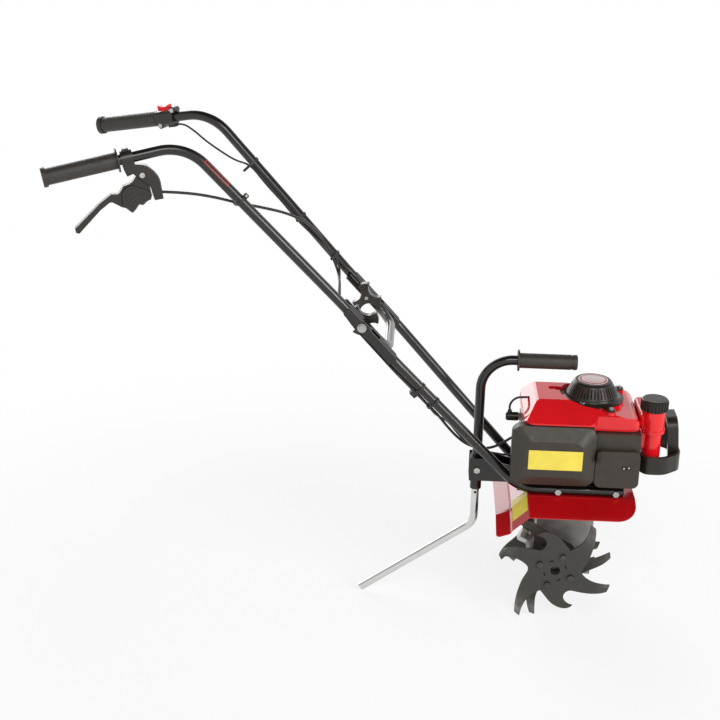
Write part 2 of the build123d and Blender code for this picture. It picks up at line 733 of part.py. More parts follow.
def clutch_housing():
    height = FENDER_TOP_Z - SHEET - CASE_TOP_Z
    bell = Cylinder(BELL_R, height, align=STANDING)
    bell += Pos(0, 0, height) * Cylinder(BELL_FLANGE_R, BELL_FLANGE_T, align=HANGING)
    bell -= Pos(0, 0, BELL_FLOOR) * Cylinder(BELL_R - BELL_WALL, height, align=STANDING)
    bell -= Cylinder(WORM_BEARING_R + SNUG, 2 * WORM_BEARING_W)
    bell -= Cylinder(WORM_SHAFT_R + CLEAR, 4 * BELL_FLOOR)
    for location in PolarLocations(DECK_BOLT_R, 4, start_angle=45):
        bell -= location * Cylinder(M8_R + HOLE_CLEAR, 4 * height)
    return Pos(CRANK_X, 0, CASE_TOP_Z) * bell


def handle_path(points, radii):
    """A tube's centre line from straight runs and tangent arcs."""
    return FilletPolyline(*points, radius=radii)


def lower_handle_left():
    front = Vector(RAIL_FRONT_X, RAIL_Y, RAIL_Z)
    level = JOINT - UP * JOINT_LEVEL_LOW
    tube = pipe(handle_path([front, LOW_BEND, level, JOINT - UP * LOWER_TUBE_GAP],
                            [LOW_BEND_R, FLARE_BEND_R]),
                TUBE_R, TUBE_WALL)
    for x in RAIL_BOLT_X:
        tube -= pin((x, RAIL_Y - 2 * TUBE_R, RAIL_Z), (x, RAIL_Y + 2 * TUBE_R, RAIL_Z), M8_R + HOLE_CLEAR)
    return tube


def upper_handle_left():
    start = JOINT - UP * UPPER_TUBE_TAIL
    level = JOINT + UP * JOINT_LEVEL_HIGH
    tube = pipe(handle_path([start, level, HIGH_BEND, GRIP_END], [FLARE_BEND_R, HIGH_BEND_R]), TUBE_R,
                TUBE_WALL)
    return tube - joint_axis_pin(JOINT_Y - 2 * TUBE_R, JOINT_Y + 2 * TUBE_R, M8_R + RUNNING)


def joint_axis_pin(start_y, end_y, radius):
    """A round bar on the left half of the fold axis."""
    return pin((JOINT.X, start_y, JOINT.Z), (JOINT.X, end_y, JOINT.Z), radius)


def handle_joint_plates():
    seat = Plane(JOINT, x_dir=UP, z_dir=(0, 1, 0))
    plate = Pos((PLATE_UP - PLATE_DOWN) / 2, 0) * RectangleRounded(PLATE_UP + PLATE_DOWN, PLATE_W,
                                                                   PLATE_CORNER)
    sheet = extrude(plate, PLATE_T)
    land_len = PLATE_DOWN - LOWER_TUBE_GAP - PLATE_CORNER
    land = Pos(-LOWER_TUBE_GAP - land_len / 2, 0, -CLEAR) * Box(
        land_len, TUBE_R, CLEAR, align=STANDING)
    outer = seat * Pos(0, 0, PLATE_IN) * (sheet + land)
    inner = mirror(outer, about=Plane(JOINT, z_dir=(0, 1, 0)))
    hole = joint_axis_pin(JOINT_Y - 2 * PLATE_OUT, JOINT_Y + 2 * PLATE_OUT, M8_R + HOLE_CLEAR)
    left = [(plate_side - hole).solids()[0] for plate_side in (outer, inner)]
    return Compound(children=left + [mirrored(solid).solids()[0] for solid in left])


def joint_bolts():
    head_y = JOINT_Y + PLATE_OUT
    bolt = joint_axis_pin(KNOB_FACE_Y - KNOB_T, head_y, M8_R)
    washer = joint_axis_pin(head_y, head_y + JOINT_HEAD_T, JOINT_HEAD_R)
    head = Plane((JOINT.X, head_y + JOINT_HEAD_T, JOINT.Z), z_dir=(0, 1, 0)) * extrude(
        hexagon(M8_HEAD_AF), M8_HEAD_T)
    return pair(bolt + washer + head)


def cross_brace():
    top = JOINT + UP * BRACE_UP
    low = JOINT - UP * BRACE_DOWN
    points = [(top.X, BRACE_Y, top.Z), (low.X, BRACE_Y, low.Z), (low.X, -BRACE_Y, low.Z),
              (top.X, -BRACE_Y, top.Z)]
    brace = pipe(handle_path(points, [BRACE_BEND_R, BRACE_BEND_R]), BRACE_R, TUBE_WALL)
    hole = joint_axis_pin(-JOINT_Y, JOINT_Y, M8_R + HOLE_CLEAR)
    return brace - hole


def joint_knob(turn):
    """A three-armed knob on the left half of the fold axis, turned from one arm up the handle."""
    profile = Circle(KNOB_R)
    for location in PolarLocations(KNOB_BITE_REACH, KNOB_ARMS, start_angle=turn + 180 / KNOB_ARMS):
        profile -= location * Circle(KNOB_BITE_R)
    knob = extrude(profile, KNOB_T)
    knob = fillet(knob.faces().sort_by(Axis.Z)[-1].edges(), KNOB_ROUND)
    seat = Plane((JOINT.X, KNOB_FACE_Y, JOINT.Z), x_dir=UP, z_dir=(0, -1, 0))
    return seat * knob - joint_axis_pin(0, JOINT_Y, M8_R + RUNNING)


def engine_base():
    half = RAIL_Y - TUBE_R
    base = block((DECK_REAR_X, -half, FENDER_TOP_Z), (DECK_FRONT_X, half, FENDER_TOP_Z + DECK_SIDE_H))
    base -= block((DECK_REAR_X - DECK_T, DECK_T - half, DECK_TOP_Z),
                  (DECK_FRONT_X + DECK_T, half - DECK_T, FENDER_TOP_Z + 2 * DECK_SIDE_H))
    base -= pin((CRANK_X, 0, FENDER_TOP_Z - DECK_T), (CRANK_X, 0, DECK_TOP_Z + DECK_T), BELL_R - BELL_WALL)
    for x in RAIL_BOLT_X:
        base -= pin((x, -2 * half, RAIL_Z), (x, 2 * half, RAIL_Z), M8_R + HOLE_CLEAR)
    return base - deck_bolt_holes()


def deck_bolt_holes():
    """Clearance for the bolts that hold the clutch housing, fender and base under the engine."""
    low = FENDER_TOP_Z - SHEET - BELL_FLANGE_T
    hole = Cylinder(M8_R + HOLE_CLEAR, DECK_TOP_Z + 2 * M8_HEAD_AF - low, align=STANDING)
    locations = PolarLocations(DECK_BOLT_R, 4, start_angle=45)
    return Compound(children=[(Pos(CRANK_X, 0,
                                   low) * location * hole).solids()[0] for location in locations])


def frame_bolts():
    bolts = []
    for x in RAIL_BOLT_X:
        for side in (-1, 1):
            seat = Plane((x, side * (RAIL_Y + TUBE_R), RAIL_Z), x_dir=(1, 0, 0), z_dir=(0, side, 0))
            bolts += (seat * hex_bolt(2 * TUBE_R + DECK_T + M8_NUT_T)).solids()
    seat = Plane((POST_X, -BRACKET_HALF_W, POST_BOLT_Z), z_dir=(0, -1, 0))
    bolts += (seat * hex_bolt(2 * BRACKET_HALF_W + M8_NUT_T)).solids()
    flange_z = FENDER_TOP_Z - SHEET - BELL_FLANGE_T
    head = extrude(hexagon(M8_HEAD_AF), -M8_HEAD_T)
    shank = Cylinder(M8_R, DECK_TOP_Z + M8_HEAD_AF - flange_z, align=STANDING)
    for location in PolarLocations(DECK_BOLT_R, 4, start_angle=45):
        bolts += (Pos(CRANK_X, 0, flange_z) * location * (head + shank)).solids()
    return Compound(children=bolts)


def fender():
    low_z = FENDER_TOP_Z - FENDER_DROP
    upper = [(FENDER_EDGE_Y, low_z), (FENDER_FLAT_Y, FENDER_TOP_Z), (-FENDER_FLAT_Y, FENDER_TOP_Z),
             (-FENDER_EDGE_Y, low_z)]
    lower = [(y, z - SHEET) for y, z in reversed(upper)]
    section = Plane((FENDER_FOLD_X, 0, 0), x_dir=(0, 1, 0), z_dir=(1, 0, 0)) * Polygon(*upper, *lower,
                                                                                       align=None)
    sheet = extrude(section, FENDER_FRONT_X - FENDER_FOLD_X, dir=(1, 0, 0))
    for back, drop in FENDER_FALLS:
        fall = Vector(-back, 0, -drop)
        sheet += extrude(section, fall.length, dir=fall)
        section = Pos(fall) * section
    rear_x = FENDER_FOLD_X - sum(back for back, drop in FENDER_FALLS)
    plan = Rectangle(FENDER_FRONT_X - rear_x, 2 * FENDER_EDGE_Y)
    plan = fillet(plan.vertices().group_by(Axis.X)[-1], FENDER_FRONT_CORNER)
    plan = fillet(plan.vertices().group_by(Axis.X)[0], FENDER_REAR_CORNER)
    trim = extrude(Pos((FENDER_FRONT_X + rear_x) / 2, 0) * plan, 2 * FENDER_TOP_Z)
    sheet = sheet & trim
    sheet -= pin((CRANK_X, 0, low_z), (CRANK_X, 0, RAIL_Z), BELL_R - BELL_WALL)
    return sheet - deck_bolt_holes()


def rear_bracket():
    cheek = Plane.XZ * Polygon((BRACKET_REAR_X, BRACKET_LOW_Z), (BRACKET_REAR_X, BRACKET_TOP_Z),
                               (POST_X + COLLAR_R, BRACKET_TOP_Z), (DECK_REAR_X, BRACKET_FRONT_TOP_Z),
                               (DECK_REAR_X, BRACKET_LOW_Z), align=None)
    body = extrude(cheek, BRACKET_HALF_W, both=True)
    hollow = BRACKET_HALF_W - BRACKET_T
    body -= block((BRACKET_REAR_X - BRACKET_T, -hollow, BRACKET_LOW_Z + BRACKET_T),
                  (DECK_REAR_X - BRACKET_T, hollow, 2 * BRACKET_TOP_Z))
    body += pin((POST_X, 0, SOCKET_LOW_Z), (POST_X, 0, POST_FOOT_Z), SOCKET_R)
    body += pin((POST_X, 0, BRACKET_LOW_Z), (POST_X, 0, BRACKET_TOP_Z), COLLAR_R)
    body -= pin((POST_X, 0, POST_FOOT_Z), (POST_X, 0, 2 * BRACKET_TOP_Z), TUBE_R + SNUG)
    body -= pin((POST_X, 0, SOCKET_LOW_Z - STAKE_R), (POST_X, 0, POST_FOOT_Z), STAKE_R + RUNNING)
    return body - post_bolt_hole()


def post_bolt_hole():
    """The cross hole for the bolt that holds the transport handle in its bracket."""
    return pin((POST_X, -2 * BRACKET_HALF_W, POST_BOLT_Z), (POST_X, 2 * BRACKET_HALF_W, POST_BOLT_Z),
               M8_R + HOLE_CLEAR)


def transport_handle():
    points = [(POST_X, 0, POST_FOOT_Z), (POST_X, 0, CARRY_Z), (CARRY_END_X, 0, CARRY_Z)]
    return pipe(handle_path(points, [POST_BEND_R]), TUBE_R, TUBE_WALL) - post_bolt_hole()


def transport_grip():
    end_x = CARRY_END_X + CARRY_GRIP_CAP
    grip = pin((CARRY_GRIP_REAR_X, 0, CARRY_Z), (end_x, 0, CARRY_Z), GRIP_R)
    grip = fillet(grip.faces().sort_by(Axis.X)[-1].edges(), CARRY_GRIP_CAP / 2)
    grip += pin((CARRY_GRIP_REAR_X, 0, CARRY_Z), (CARRY_GRIP_REAR_X + CARRY_FLANGE_T, 0, CARRY_Z),
                CARRY_FLANGE_R)
    groove = ring(2 * GRIP_R, GRIP_R - CARRY_GROOVE_DEPTH, CARRY_GROOVE_W)
    grip -= Plane((end_x - CARRY_GROOVE_INSET, 0, CARRY_Z), z_dir=(1, 0, 0)) * groove
    return grip - pin((CARRY_GRIP_REAR_X - CARRY_FLANGE_T, 0, CARRY_Z), (CARRY_END_X, 0, CARRY_Z),
                      TUBE_R + SNUG)


def drag_stake():
    slope = atan2(STAKE_KNEE_Z, POST_X - STAKE_FOOT_X)
    foot = Vector(STAKE_FOOT_X, 0, STAKE_R * cos(slope))
    points = [(POST_X, 0, POST_FOOT_Z - CLEAR), (POST_X, 0, STAKE_KNEE_Z), foot]
    stake = rod(handle_path(points, [STAKE_BEND_R]), STAKE_R)
    stake -= pin((POST_X, -2 * STAKE_R, STAKE_HOLE_Z), (POST_X, 2 * STAKE_R, STAKE_HOLE_Z), STAKE_HOLE_R)
    return stake


def engine_block():
    case = block((BLOCK_REAR_X, -BLOCK_HALF_Y, DECK_TOP_Z), (BLOCK_FRONT_X, BLOCK_HALF_Y, BLOCK_TOP_Z))
    case = fillet(case.edges().filter_by(Axis.Z), FIN_T * 4)
    case += pin((BLOCK_REAR_X + FIN_HALF, 0, CYL_Z), (CYL_REAR_X, 0, CYL_Z), CYL_R)
    pitch = (BLOCK_REAR_X - CYL_REAR_X - FIN_T) / (FIN_COUNT - 1)
    for fin in range(FIN_COUNT):
        x = CYL_REAR_X + fin * pitch
        case += block((x, -FIN_HALF, CYL_Z - FIN_HALF), (x + FIN_T, FIN_HALF, CYL_Z + FIN_RISE))
    case -= pin((CRANK_X, 0, DECK_TOP_Z - DECK_T), (CRANK_X, 0, BLOCK_TOP_Z + DECK_T), JOURNAL_R + RUNNING)
    half = CRANK_CAVITY_H / 2
    case -= pin((CRANK_X, 0, CYL_Z - half), (CRANK_X, 0, CYL_Z + half), CRANK_CAVITY_R)
    return case - deck_bolt_holes()


def crankshaft():
    half = CRANK_CAVITY_H / 2 - CLEAR * 4
    shaft = pin((CRANK_X, 0, CYL_Z - half), (CRANK_X, 0, DECK_TOP_Z + DECK_T), JOURNAL_R)
    shaft += pin((CRANK_X, 0, CRANK_LOW_Z), (CRANK_X, 0, CYL_Z - half), CRANK_STUB_R)
    shaft += pin((CRANK_X, 0, CYL_Z + half), (CRANK_X, 0, BLOCK_TOP_Z), JOURNAL_R)
    shaft += pin((CRANK_X, 0, CYL_Z + half), (CRANK_X, 0, CRANK_TOP_Z), CRANK_STUB_R)
    for low in (CYL_Z - half, CYL_Z + half - CRANK_WEB_T):
        shaft += pin((CRANK_X, 0, low), (CRANK_X, 0, low + CRANK_WEB_T), CRANK_WEB_R)
    pin_x = CRANK_X - CRANK_THROW
    return shaft + pin((pin_x, 0, CYL_Z - half), (pin_x, 0, CYL_Z + half), CRANK_PIN_R)


def flywheel():
    wheel = ring(FLYWHEEL_R, CRANK_STUB_R + SNUG, FLYWHEEL_T)
    blade = block((FLYWHEEL_R / 2, -FAN_BLADE_T / 2, FLYWHEEL_T), (FLYWHEEL_R - FAN_BLADE_T, FAN_BLADE_T / 2,
                                                                   FLYWHEEL_T + FAN_H))
    for location in PolarLocations(0, FAN_BLADES):
        wheel += location * blade
    return Pos(CRANK_X, 0, FLYWHEEL_Z) * wheel


def shroud_side(inset):
    """The shroud seen from the side."""
    low = SHROUD_LOW_Z - 2 * inset
    side = Polygon((SHROUD_REAR_X + inset, low), (SHROUD_NOSE_X - inset, low),
                   (SHROUD_NOSE_X - inset, SHROUD_NOSE_Z - inset), (SHROUD_FRONT_X, SHROUD_FRONT_Z - inset),
                   (SHROUD_FLAT_X, SHROUD_CREST_Z - inset), (SHROUD_CREST_X, SHROUD_CREST_Z - inset),
                   (SHROUD_REAR_X + inset, SHROUD_REAR_Z - inset), align=None)
    side = fillet(side.vertices().filter_by(lambda corner: corner.Y > SHROUD_LOW_Z), SHROUD_ROUND - inset)
    return extrude(Plane.XZ * side, SHROUD_LIP_Y, both=True)


def near_slope_z(y):
    """The height of the shroud's near slope at a distance from the middle plane."""
    fall = (SHROUD_CREST_Z - SHROUD_LIP_Z) / (SHROUD_LIP_Y - SHROUD_TOP_Y)
    return SHROUD_CREST_Z - fall * (y - SHROUD_TOP_Y)


def shroud_skin(inset):
    """The shroud's outer form, or its hollow when inset by the wall: side, end and plan views crossed."""
    low = SHROUD_LOW_Z - 2 * inset
    edge, slope = SHROUD_EDGE_Y - inset, SHROUD_SLOPE_Y - inset
    top = SHROUD_TOP_Y - inset
    end = Polygon((edge, low), (edge, SHROUD_EDGE_Z - inset), (slope, SHROUD_SLOPE_Z - inset),
                  (top, SHROUD_CREST_Z - inset), (-top, SHROUD_CREST_Z - inset),
                  (-edge, near_slope_z(edge) - inset),
                  (-edge, low), align=None)
    upper = end.vertices().filter_by(lambda corner: corner.Y > SHROUD_LOW_Z and corner.X > -SHROUD_SLOPE_Y)
    end = fillet(upper, SHROUD_ROUND / 2)
    plan = Rectangle(SHROUD_NOSE_X - SHROUD_REAR_X - 2 * inset, 2 * edge)
    plan = Pos((SHROUD_NOSE_X + SHROUD_REAR_X) / 2, 0) * fillet(plan.vertices(), SHROUD_CORNER - inset)
    form = shroud_side(inset) & extrude(Plane.YZ * end, 2 * SHROUD_NOSE_X, both=True)
    return form & extrude(plan, 2 * SHROUD_CREST_Z)


def shroud_lip():
    """The shroud's near edge, carried out over the air cleaner cover."""
    section = Polygon((-SHROUD_EDGE_Y, SHROUD_LIP_LOW_Z), (-SHROUD_LIP_Y, SHROUD_LIP_LOW_Z),
                      (-SHROUD_LIP_Y, SHROUD_LIP_Z), (-SHROUD_EDGE_Y, near_slope_z(SHROUD_EDGE_Y)),
                      align=None)
    plan = Rectangle(SHROUD_LIP_FRONT_X - SHROUD_REAR_X, 2 * SHROUD_LIP_Y)
    plan = Pos((SHROUD_LIP_FRONT_X + SHROUD_REAR_X) / 2, 0) * fillet(plan.vertices(), SHROUD_CORNER)
    lip = extrude(Plane.YZ * section, 2 * SHROUD_NOSE_X, both=True) & extrude(plan, 2 * SHROUD_CREST_Z)
    return lip & shroud_side(0)


def land_plan(margin):
    """The starter's round seat with its three ears, widened by a margin."""
    plan = Circle(DOME_R + LAND_MARGIN + margin)
    width = EAR_R + LAND_MARGIN + margin
    for angle in EAR_ANGLES:
        plan += Rot(0, 0, angle) * (Pos(EAR_REACH, 0) * Circle(width) + Pos(EAR_REACH / 2, 0) * Rectangle(
            EAR_REACH, 2 * width))
    return Pos(CRANK_X, 0) * plan


def shroud_form(inset):
    """The shroud with the starter's seat, proud at the front and sunk at the rear."""
    seat_z = SHROUD_TOP_Z - inset
    form = shroud_skin(inset)
    form += Pos(0, 0, SHROUD_EDGE_Z - inset) * extrude(land_plan(-inset), SHROUD_TOP_Z - SHROUD_EDGE_Z)
    return form - Pos(0, 0, seat_z) * extrude(land_plan(inset), SHROUD_CREST_Z)


def engine_shroud():
    shell = shroud_form(0) - shroud_form(SHROUD_WALL) + shroud_lip()
    shell -= pin((CRANK_X, 0, SHROUD_EDGE_Z), (CRANK_X, 0, DOME_TOP_Z), INLET_R)
    rope_x = CRANK_X + PULLEY_GROOVE_R
    shell -= pin((rope_x, 0, PULLEY_Z), (rope_x, SHROUD_EDGE_Y, PULLEY_Z), ROPE_GUIDE_R)
    for angle in EAR_ANGLES:
        x, y = polar(EAR_REACH, angle)
        shell -= pin((CRANK_X + x, y, SHROUD_TOP_Z - SCREW_LEN), (CRANK_X + x, y, DOME_TOP_Z),
                     SCREW_R + HOLE_CLEAR)
    lead = [Vector(*point) for point in lead_points()[-2:]]
    return shell - pin(lead[0], lead[1] + (lead[1] - lead[0]) / 2, LEAD_R + CLEAR)


def starter_housing():
    height = DOME_TOP_Z - SHROUD_TOP_Z
    rim, flare = (DOME_R, DOME_RIM_H), (DOME_FLARE_R, DOME_FLARE_H)
    bow = ((DOME_R + DOME_FLARE_R) / 2 - DOME_WALL, (DOME_RIM_H + DOME_FLARE_H) / 2 - DOME_WALL)
    crown = (DOME_TOP_R + DOME_CROWN, height - DOME_CROWN)
    outer = make_face([Polyline((0, height), (0, 0), (DOME_R, 0), rim), ThreePointArc(rim, bow, flare),
                       Polyline(flare, crown, (DOME_TOP_R, height), (0, height))])
    ceiling = height - DOME_WALL
    inner = make_face(Polyline((0, -DOME_WALL), (DOME_FLARE_R - DOME_WALL, -DOME_WALL),
                               (DOME_FLARE_R - DOME_WALL, DOME_FLARE_H), (DOME_TOP_R, ceiling), (0, ceiling),
                               close=True))
    dome = revolve(Plane.XZ * outer, Axis.Z)
    for angle in EAR_ANGLES:
        ear = Pos(EAR_REACH, 0) * Circle(EAR_R) + Pos((EAR_REACH + DOME_R) / 2 - EAR_R, 0) * Rectangle(
            EAR_REACH - DOME_R + 2 * EAR_R, 2 * EAR_R)
        dome += Rot(0, 0, angle) * extrude(ear, EAR_T)
        dome -= Rot(0, 0, angle) * Pos(EAR_REACH, 0, 0) * Cylinder(SCREW_R + HOLE_CLEAR, 4 * EAR_T)
    dome -= revolve(Plane.XZ * inner, Axis.Z)
    slot_low = DOME_FLARE_H + DOME_WALL
    slot_high = height - 2 * DOME_CROWN
    slot = block((DOME_TOP_R, -DOME_SLOT_W / 2, slot_low), (DOME_R, DOME_SLOT_W / 2, slot_high))
    for location in PolarLocations(0, DOME_SLOTS):
        dome -= location * slot
    post_low = PULLEY_Z - PULLEY_T / 2 - SHROUD_TOP_Z
    dome += pin((0, 0, post_low), (0, 0, ceiling + DOME_WALL / 2), PULLEY_POST_R)
    stop_z = PULLEY_Z + PULLEY_T / 2 + CLEAR - SHROUD_TOP_Z
    dome += pin((0, 0, stop_z), (0, 0, ceiling + DOME_WALL / 2), PULLEY_POST_R + DOME_WALL)
    return Pos(CRANK_X, 0, SHROUD_TOP_Z) * dome


def starter_screws():
    screw = Cylinder(SCREW_R, SCREW_LEN, align=HANGING)
    screw += Cylinder(SCREW_HEAD_R, SCREW_HEAD_T, align=STANDING)
    places = [Pos(CRANK_X, 0, SHROUD_TOP_Z + EAR_T) * Rot(0, 0, angle) * Pos(EAR_REACH, 0,
                                                                             0) for angle in EAR_ANGLES]
    return Compound(children=[(place * screw).solids()[0] for place in places])


def starter_pulley():
    wheel = ring(PULLEY_R, PULLEY_POST_R + RUNNING, PULLEY_T)
    groove = ring(PULLEY_R + ROPE_R, PULLEY_GROOVE_R - ROPE_R, 2 * ROPE_R + 2 * CLEAR)
    wheel -= Pos(0, 0, PULLEY_T / 2 - ROPE_R - CLEAR) * groove
    return Pos(CRANK_X, 0, PULLEY_Z - PULLEY_T / 2) * wheel


def starter_rope():
    rope_x = CRANK_X + PULLEY_GROOVE_R
    return pin((rope_x, 0, PULLEY_Z), (rope_x, STARTER_GRIP_Y, PULLEY_Z), ROPE_R)


def starter_grip():
    grip = Box(STARTER_GRIP_W, STARTER_GRIP_LEN, STARTER_GRIP_H,
               align=(Align.CENTER, Align.MIN, Align.CENTER))
    grip = fillet(grip.edges(), STARTER_GRIP_ROUND)
    return Pos(CRANK_X + PULLEY_GROOVE_R, STARTER_GRIP_Y, PULLEY_Z) * grip


def fuel_tank():
    tank = block((TANK_REAR_X, -TANK_HALF_Y, TANK_LOW_Z), (TANK_FRONT_X, TANK_HALF_Y, TANK_TOP_Z))
    tank = fillet(tank.edges(), 3 * TANK_WALL)
    shoulder = block((SHOULDER_REAR_X, -TANK_HALF_Y, TANK_LOW_Z),
                     (TANK_FRONT_X, TANK_HALF_Y, SHOULDER_TOP_Z))
    tank += fillet(shoulder.edges(), 3 * TANK_WALL)
    hollow = block((TANK_REAR_X + TANK_WALL, TANK_WALL - TANK_HALF_Y, TANK_LOW_Z + TANK_WALL),
                   (TANK_FRONT_X - TANK_WALL, TANK_HALF_Y - TANK_WALL, TANK_TOP_Z - TANK_WALL))
    tank += pin((NECK_X, NECK_Y, NECK_LOW_Z), (NECK_X, NECK_Y, NECK_TOP_Z), NECK_R)
    tank += pin((NECK_X, NECK_Y, NECK_RING_Z), (NECK_X, NECK_Y, NECK_SHELL_TOP_Z), NECK_SHELL_R)
    tank += pin((NECK_X, NECK_Y, NECK_RING_Z), (NECK_X, NECK_Y, NECK_RING_Z + NECK_RING_H), NECK_RING_R)
    tank -= fillet(hollow.edges(), 2 * TANK_WALL)
    hollow = block((SHOULDER_REAR_X + TANK_WALL, TANK_WALL - TANK_HALF_Y, TANK_LOW_Z + TANK_WALL),
                   (TANK_FRONT_X - TANK_WALL, TANK_HALF_Y - TANK_WALL, SHOULDER_TOP_Z - TANK_WALL))
    tank -= fillet(hollow.edges(), 2 * TANK_WALL)
    return tank - pin((NECK_X, NECK_Y, NECK_LOW_Z + TANK_WALL), (NECK_X, NECK_Y, 2 * NECK_TOP_Z),
                      NECK_R - TANK_WALL)


def fuel_cap():
    height = CAP_TOP_Z - CAP_LOW_Z
    cap = Cylinder(CAP_R - CAP_RIB_R, height, align=STANDING)
    cap = chamfer(cap.faces().sort_by(Axis.Z)[-1].edges(), CAP_RIB_R)
    for location in PolarLocations(CAP_R - CAP_RIB_R, CAP_RIBS):
        cap += location * Cylinder(CAP_RIB_R, height - 2 * CAP_RIB_R, align=STANDING)
    cap -= Cylinder(NECK_R + RUNNING, NECK_TOP_Z + CLEAR - CAP_LOW_Z, align=STANDING)
    return Pos(NECK_X, NECK_Y, CAP_LOW_Z) * cap


def near_plane(x, y, z):
    """A drawing plane facing the machine's right: local X forward, local Y up, local Z outwards."""
    return Plane((x, -y, z), x_dir=(1, 0, 0), z_dir=(0, -1, 0))


def air_box(inset):
    """The air cleaner cover's outer form, or its hollow when inset by the wall."""
    width = AIR_FRONT_X - AIR_REAR_X - 2 * inset
    height = AIR_TOP_Z - AIR_LOW_Z - 2 * inset
    seat = near_plane((AIR_REAR_X + AIR_FRONT_X) / 2, AIR_BACK_Y, (AIR_LOW_Z + AIR_TOP_Z) / 2)
    base = RectangleRounded(width, height, AIR_CORNER - inset)
    face = RectangleRounded(width - 2 * AIR_BEVEL, height - 2 * AIR_BEVEL, AIR_CORNER - inset)
    step = AIR_STEP_Y - AIR_BACK_Y - inset
    body = extrude(base, step)
    body += loft([Pos(0, 0, step) * base, Pos(0, 0, AIR_FACE_Y - AIR_BACK_Y - inset) * face])
    return seat * body


def air_cleaner_cover():
    return air_box(0) - air_box(AIR_WALL)


def air_cleaner_base():
    width = AIR_FRONT_X - AIR_REAR_X - AIR_RIM
    height = SHROUD_LOW_Z - AIR_LOW_Z - AIR_RIM
    middle_z = (AIR_LOW_Z + SHROUD_LOW_Z) / 2
    seat = near_plane((AIR_REAR_X + AIR_FRONT_X) / 2, AIR_BACK_Y, middle_z)
    plate = seat * extrude(RectangleRounded(width, height, AIR_CORNER), -AIR_PLATE_T)
    plate_y = AIR_BACK_Y - AIR_PLATE_T
    for z in (middle_z - height / 3, middle_z + height / 4):
        plate += pin((BLOCK_REAR_X + 4 * STANDOFF_R, -plate_y, z),
                     (BLOCK_REAR_X + 4 * STANDOFF_R, -BLOCK_HALF_Y, z),
                     STANDOFF_R)
    plate += pin((INTAKE_X, -plate_y, CYL_Z), (INTAKE_X, -CARB_OUTER_Y, CYL_Z), INTAKE_R)
    return plate - pin((INTAKE_X, -2 * AIR_BACK_Y, CYL_Z), (INTAKE_X, -CARB_OUTER_Y, CYL_Z), INTAKE_BORE_R)


def air_filter():
    width = AIR_FRONT_X - AIR_REAR_X - 2 * (AIR_WALL + FILTER_MARGIN)
    height = AIR_TOP_Z - AIR_LOW_Z - 2 * (AIR_WALL + FILTER_MARGIN)
    seat = near_plane((AIR_REAR_X + AIR_FRONT_X) / 2, AIR_BACK_Y, (AIR_LOW_Z + AIR_TOP_Z) / 2)
    return seat * extrude(RectangleRounded(width, height, AIR_CORNER / 2), FILTER_T)


def carburettor():
    half = CARB_W / 2
    body = block((INTAKE_X - half, -CARB_OUTER_Y, CYL_Z - CARB_H / 2),
                 (INTAKE_X + half, -CARB_INNER_Y, CYL_Z + CARB_H / 2))
    body = fillet(body.edges().filter_by(Axis.Y), half / 4)
    body += pin((INTAKE_X, -CARB_INNER_Y, CYL_Z), (INTAKE_X, -FIN_HALF, CYL_Z), INTAKE_R)
    bowl_y = -(CARB_INNER_Y + CARB_OUTER_Y) / 2
    bowl_r = (CARB_OUTER_Y - CARB_INNER_Y) / 2
    body += pin((INTAKE_X, bowl_y, CYL_Z), (INTAKE_X, bowl_y, CYL_Z - CARB_W), bowl_r)
    return body - pin((INTAKE_X, -AIR_BACK_Y, CYL_Z), (INTAKE_X, -FIN_HALF, CYL_Z), INTAKE_BORE_R)


def side_box(inset):
    """The side cover's outer form, or its hollow when inset by the wall."""
    seat = near_plane(0, SIDE_BACK_Y, 0)
    low = Polygon((SIDE_REAR_X + inset, SIDE_LOW_Z + inset), (SIDE_FRONT_X - inset, SIDE_LOW_Z + inset),
                  (SIDE_FRONT_X - inset, SIDE_STEP_Z - inset), (SIDE_REAR_X + inset, SIDE_STEP_Z - inset),
                  align=None)
    low = fillet(low.vertices(), SIDE_CORNER - inset)
    high = Polygon((SIDE_REAR_X + inset, SIDE_LOW_Z + SIDE_CORNER),
                   (SIDE_FRONT_X - inset, SIDE_LOW_Z + SIDE_CORNER),
                   (SIDE_FRONT_X - inset, SIDE_TOP_Z - inset), (SIDE_REAR_X + inset, SIDE_TOP_Z - inset),
                   align=None)
    body = extrude(seat * low, SIDE_FACE_Y - SIDE_BACK_Y - inset)
    return body + extrude(seat * high, SIDE_LEDGE_Y - SIDE_BACK_Y - inset)


def side_cover():
    shell = side_box(0) - side_box(SHROUD_WALL)
    post_x = (SIDE_REAR_X + BLOCK_FRONT_X) / 2
    for z in (SIDE_LOW_Z + 2 * SIDE_CORNER, SIDE_STEP_Z - 2 * SIDE_CORNER):
        shell += pin((post_x, -BLOCK_HALF_Y, z), (post_x, SHROUD_WALL / 2 - SIDE_FACE_Y, z), STANDOFF_R)
    return shell


def muffler():
    low, high = zip(MUFFLER_X, MUFFLER_Y, MUFFLER_Z)
    box = fillet(block(low, high).edges(), MUFFLER_CORNER)
    low = [edge + SHEET for edge in low]
    high = [edge - SHEET for edge in high]
    box -= fillet(block(low, high).edges(), MUFFLER_CORNER - SHEET)
    port_x = (BLOCK_REAR_X + MUFFLER_X[1]) / 2
    box += pin((port_x, BLOCK_HALF_Y, CYL_Z), (port_x, MUFFLER_Y[0] + SHEET / 2, CYL_Z), MUFFLER_PORT_R)
    return box


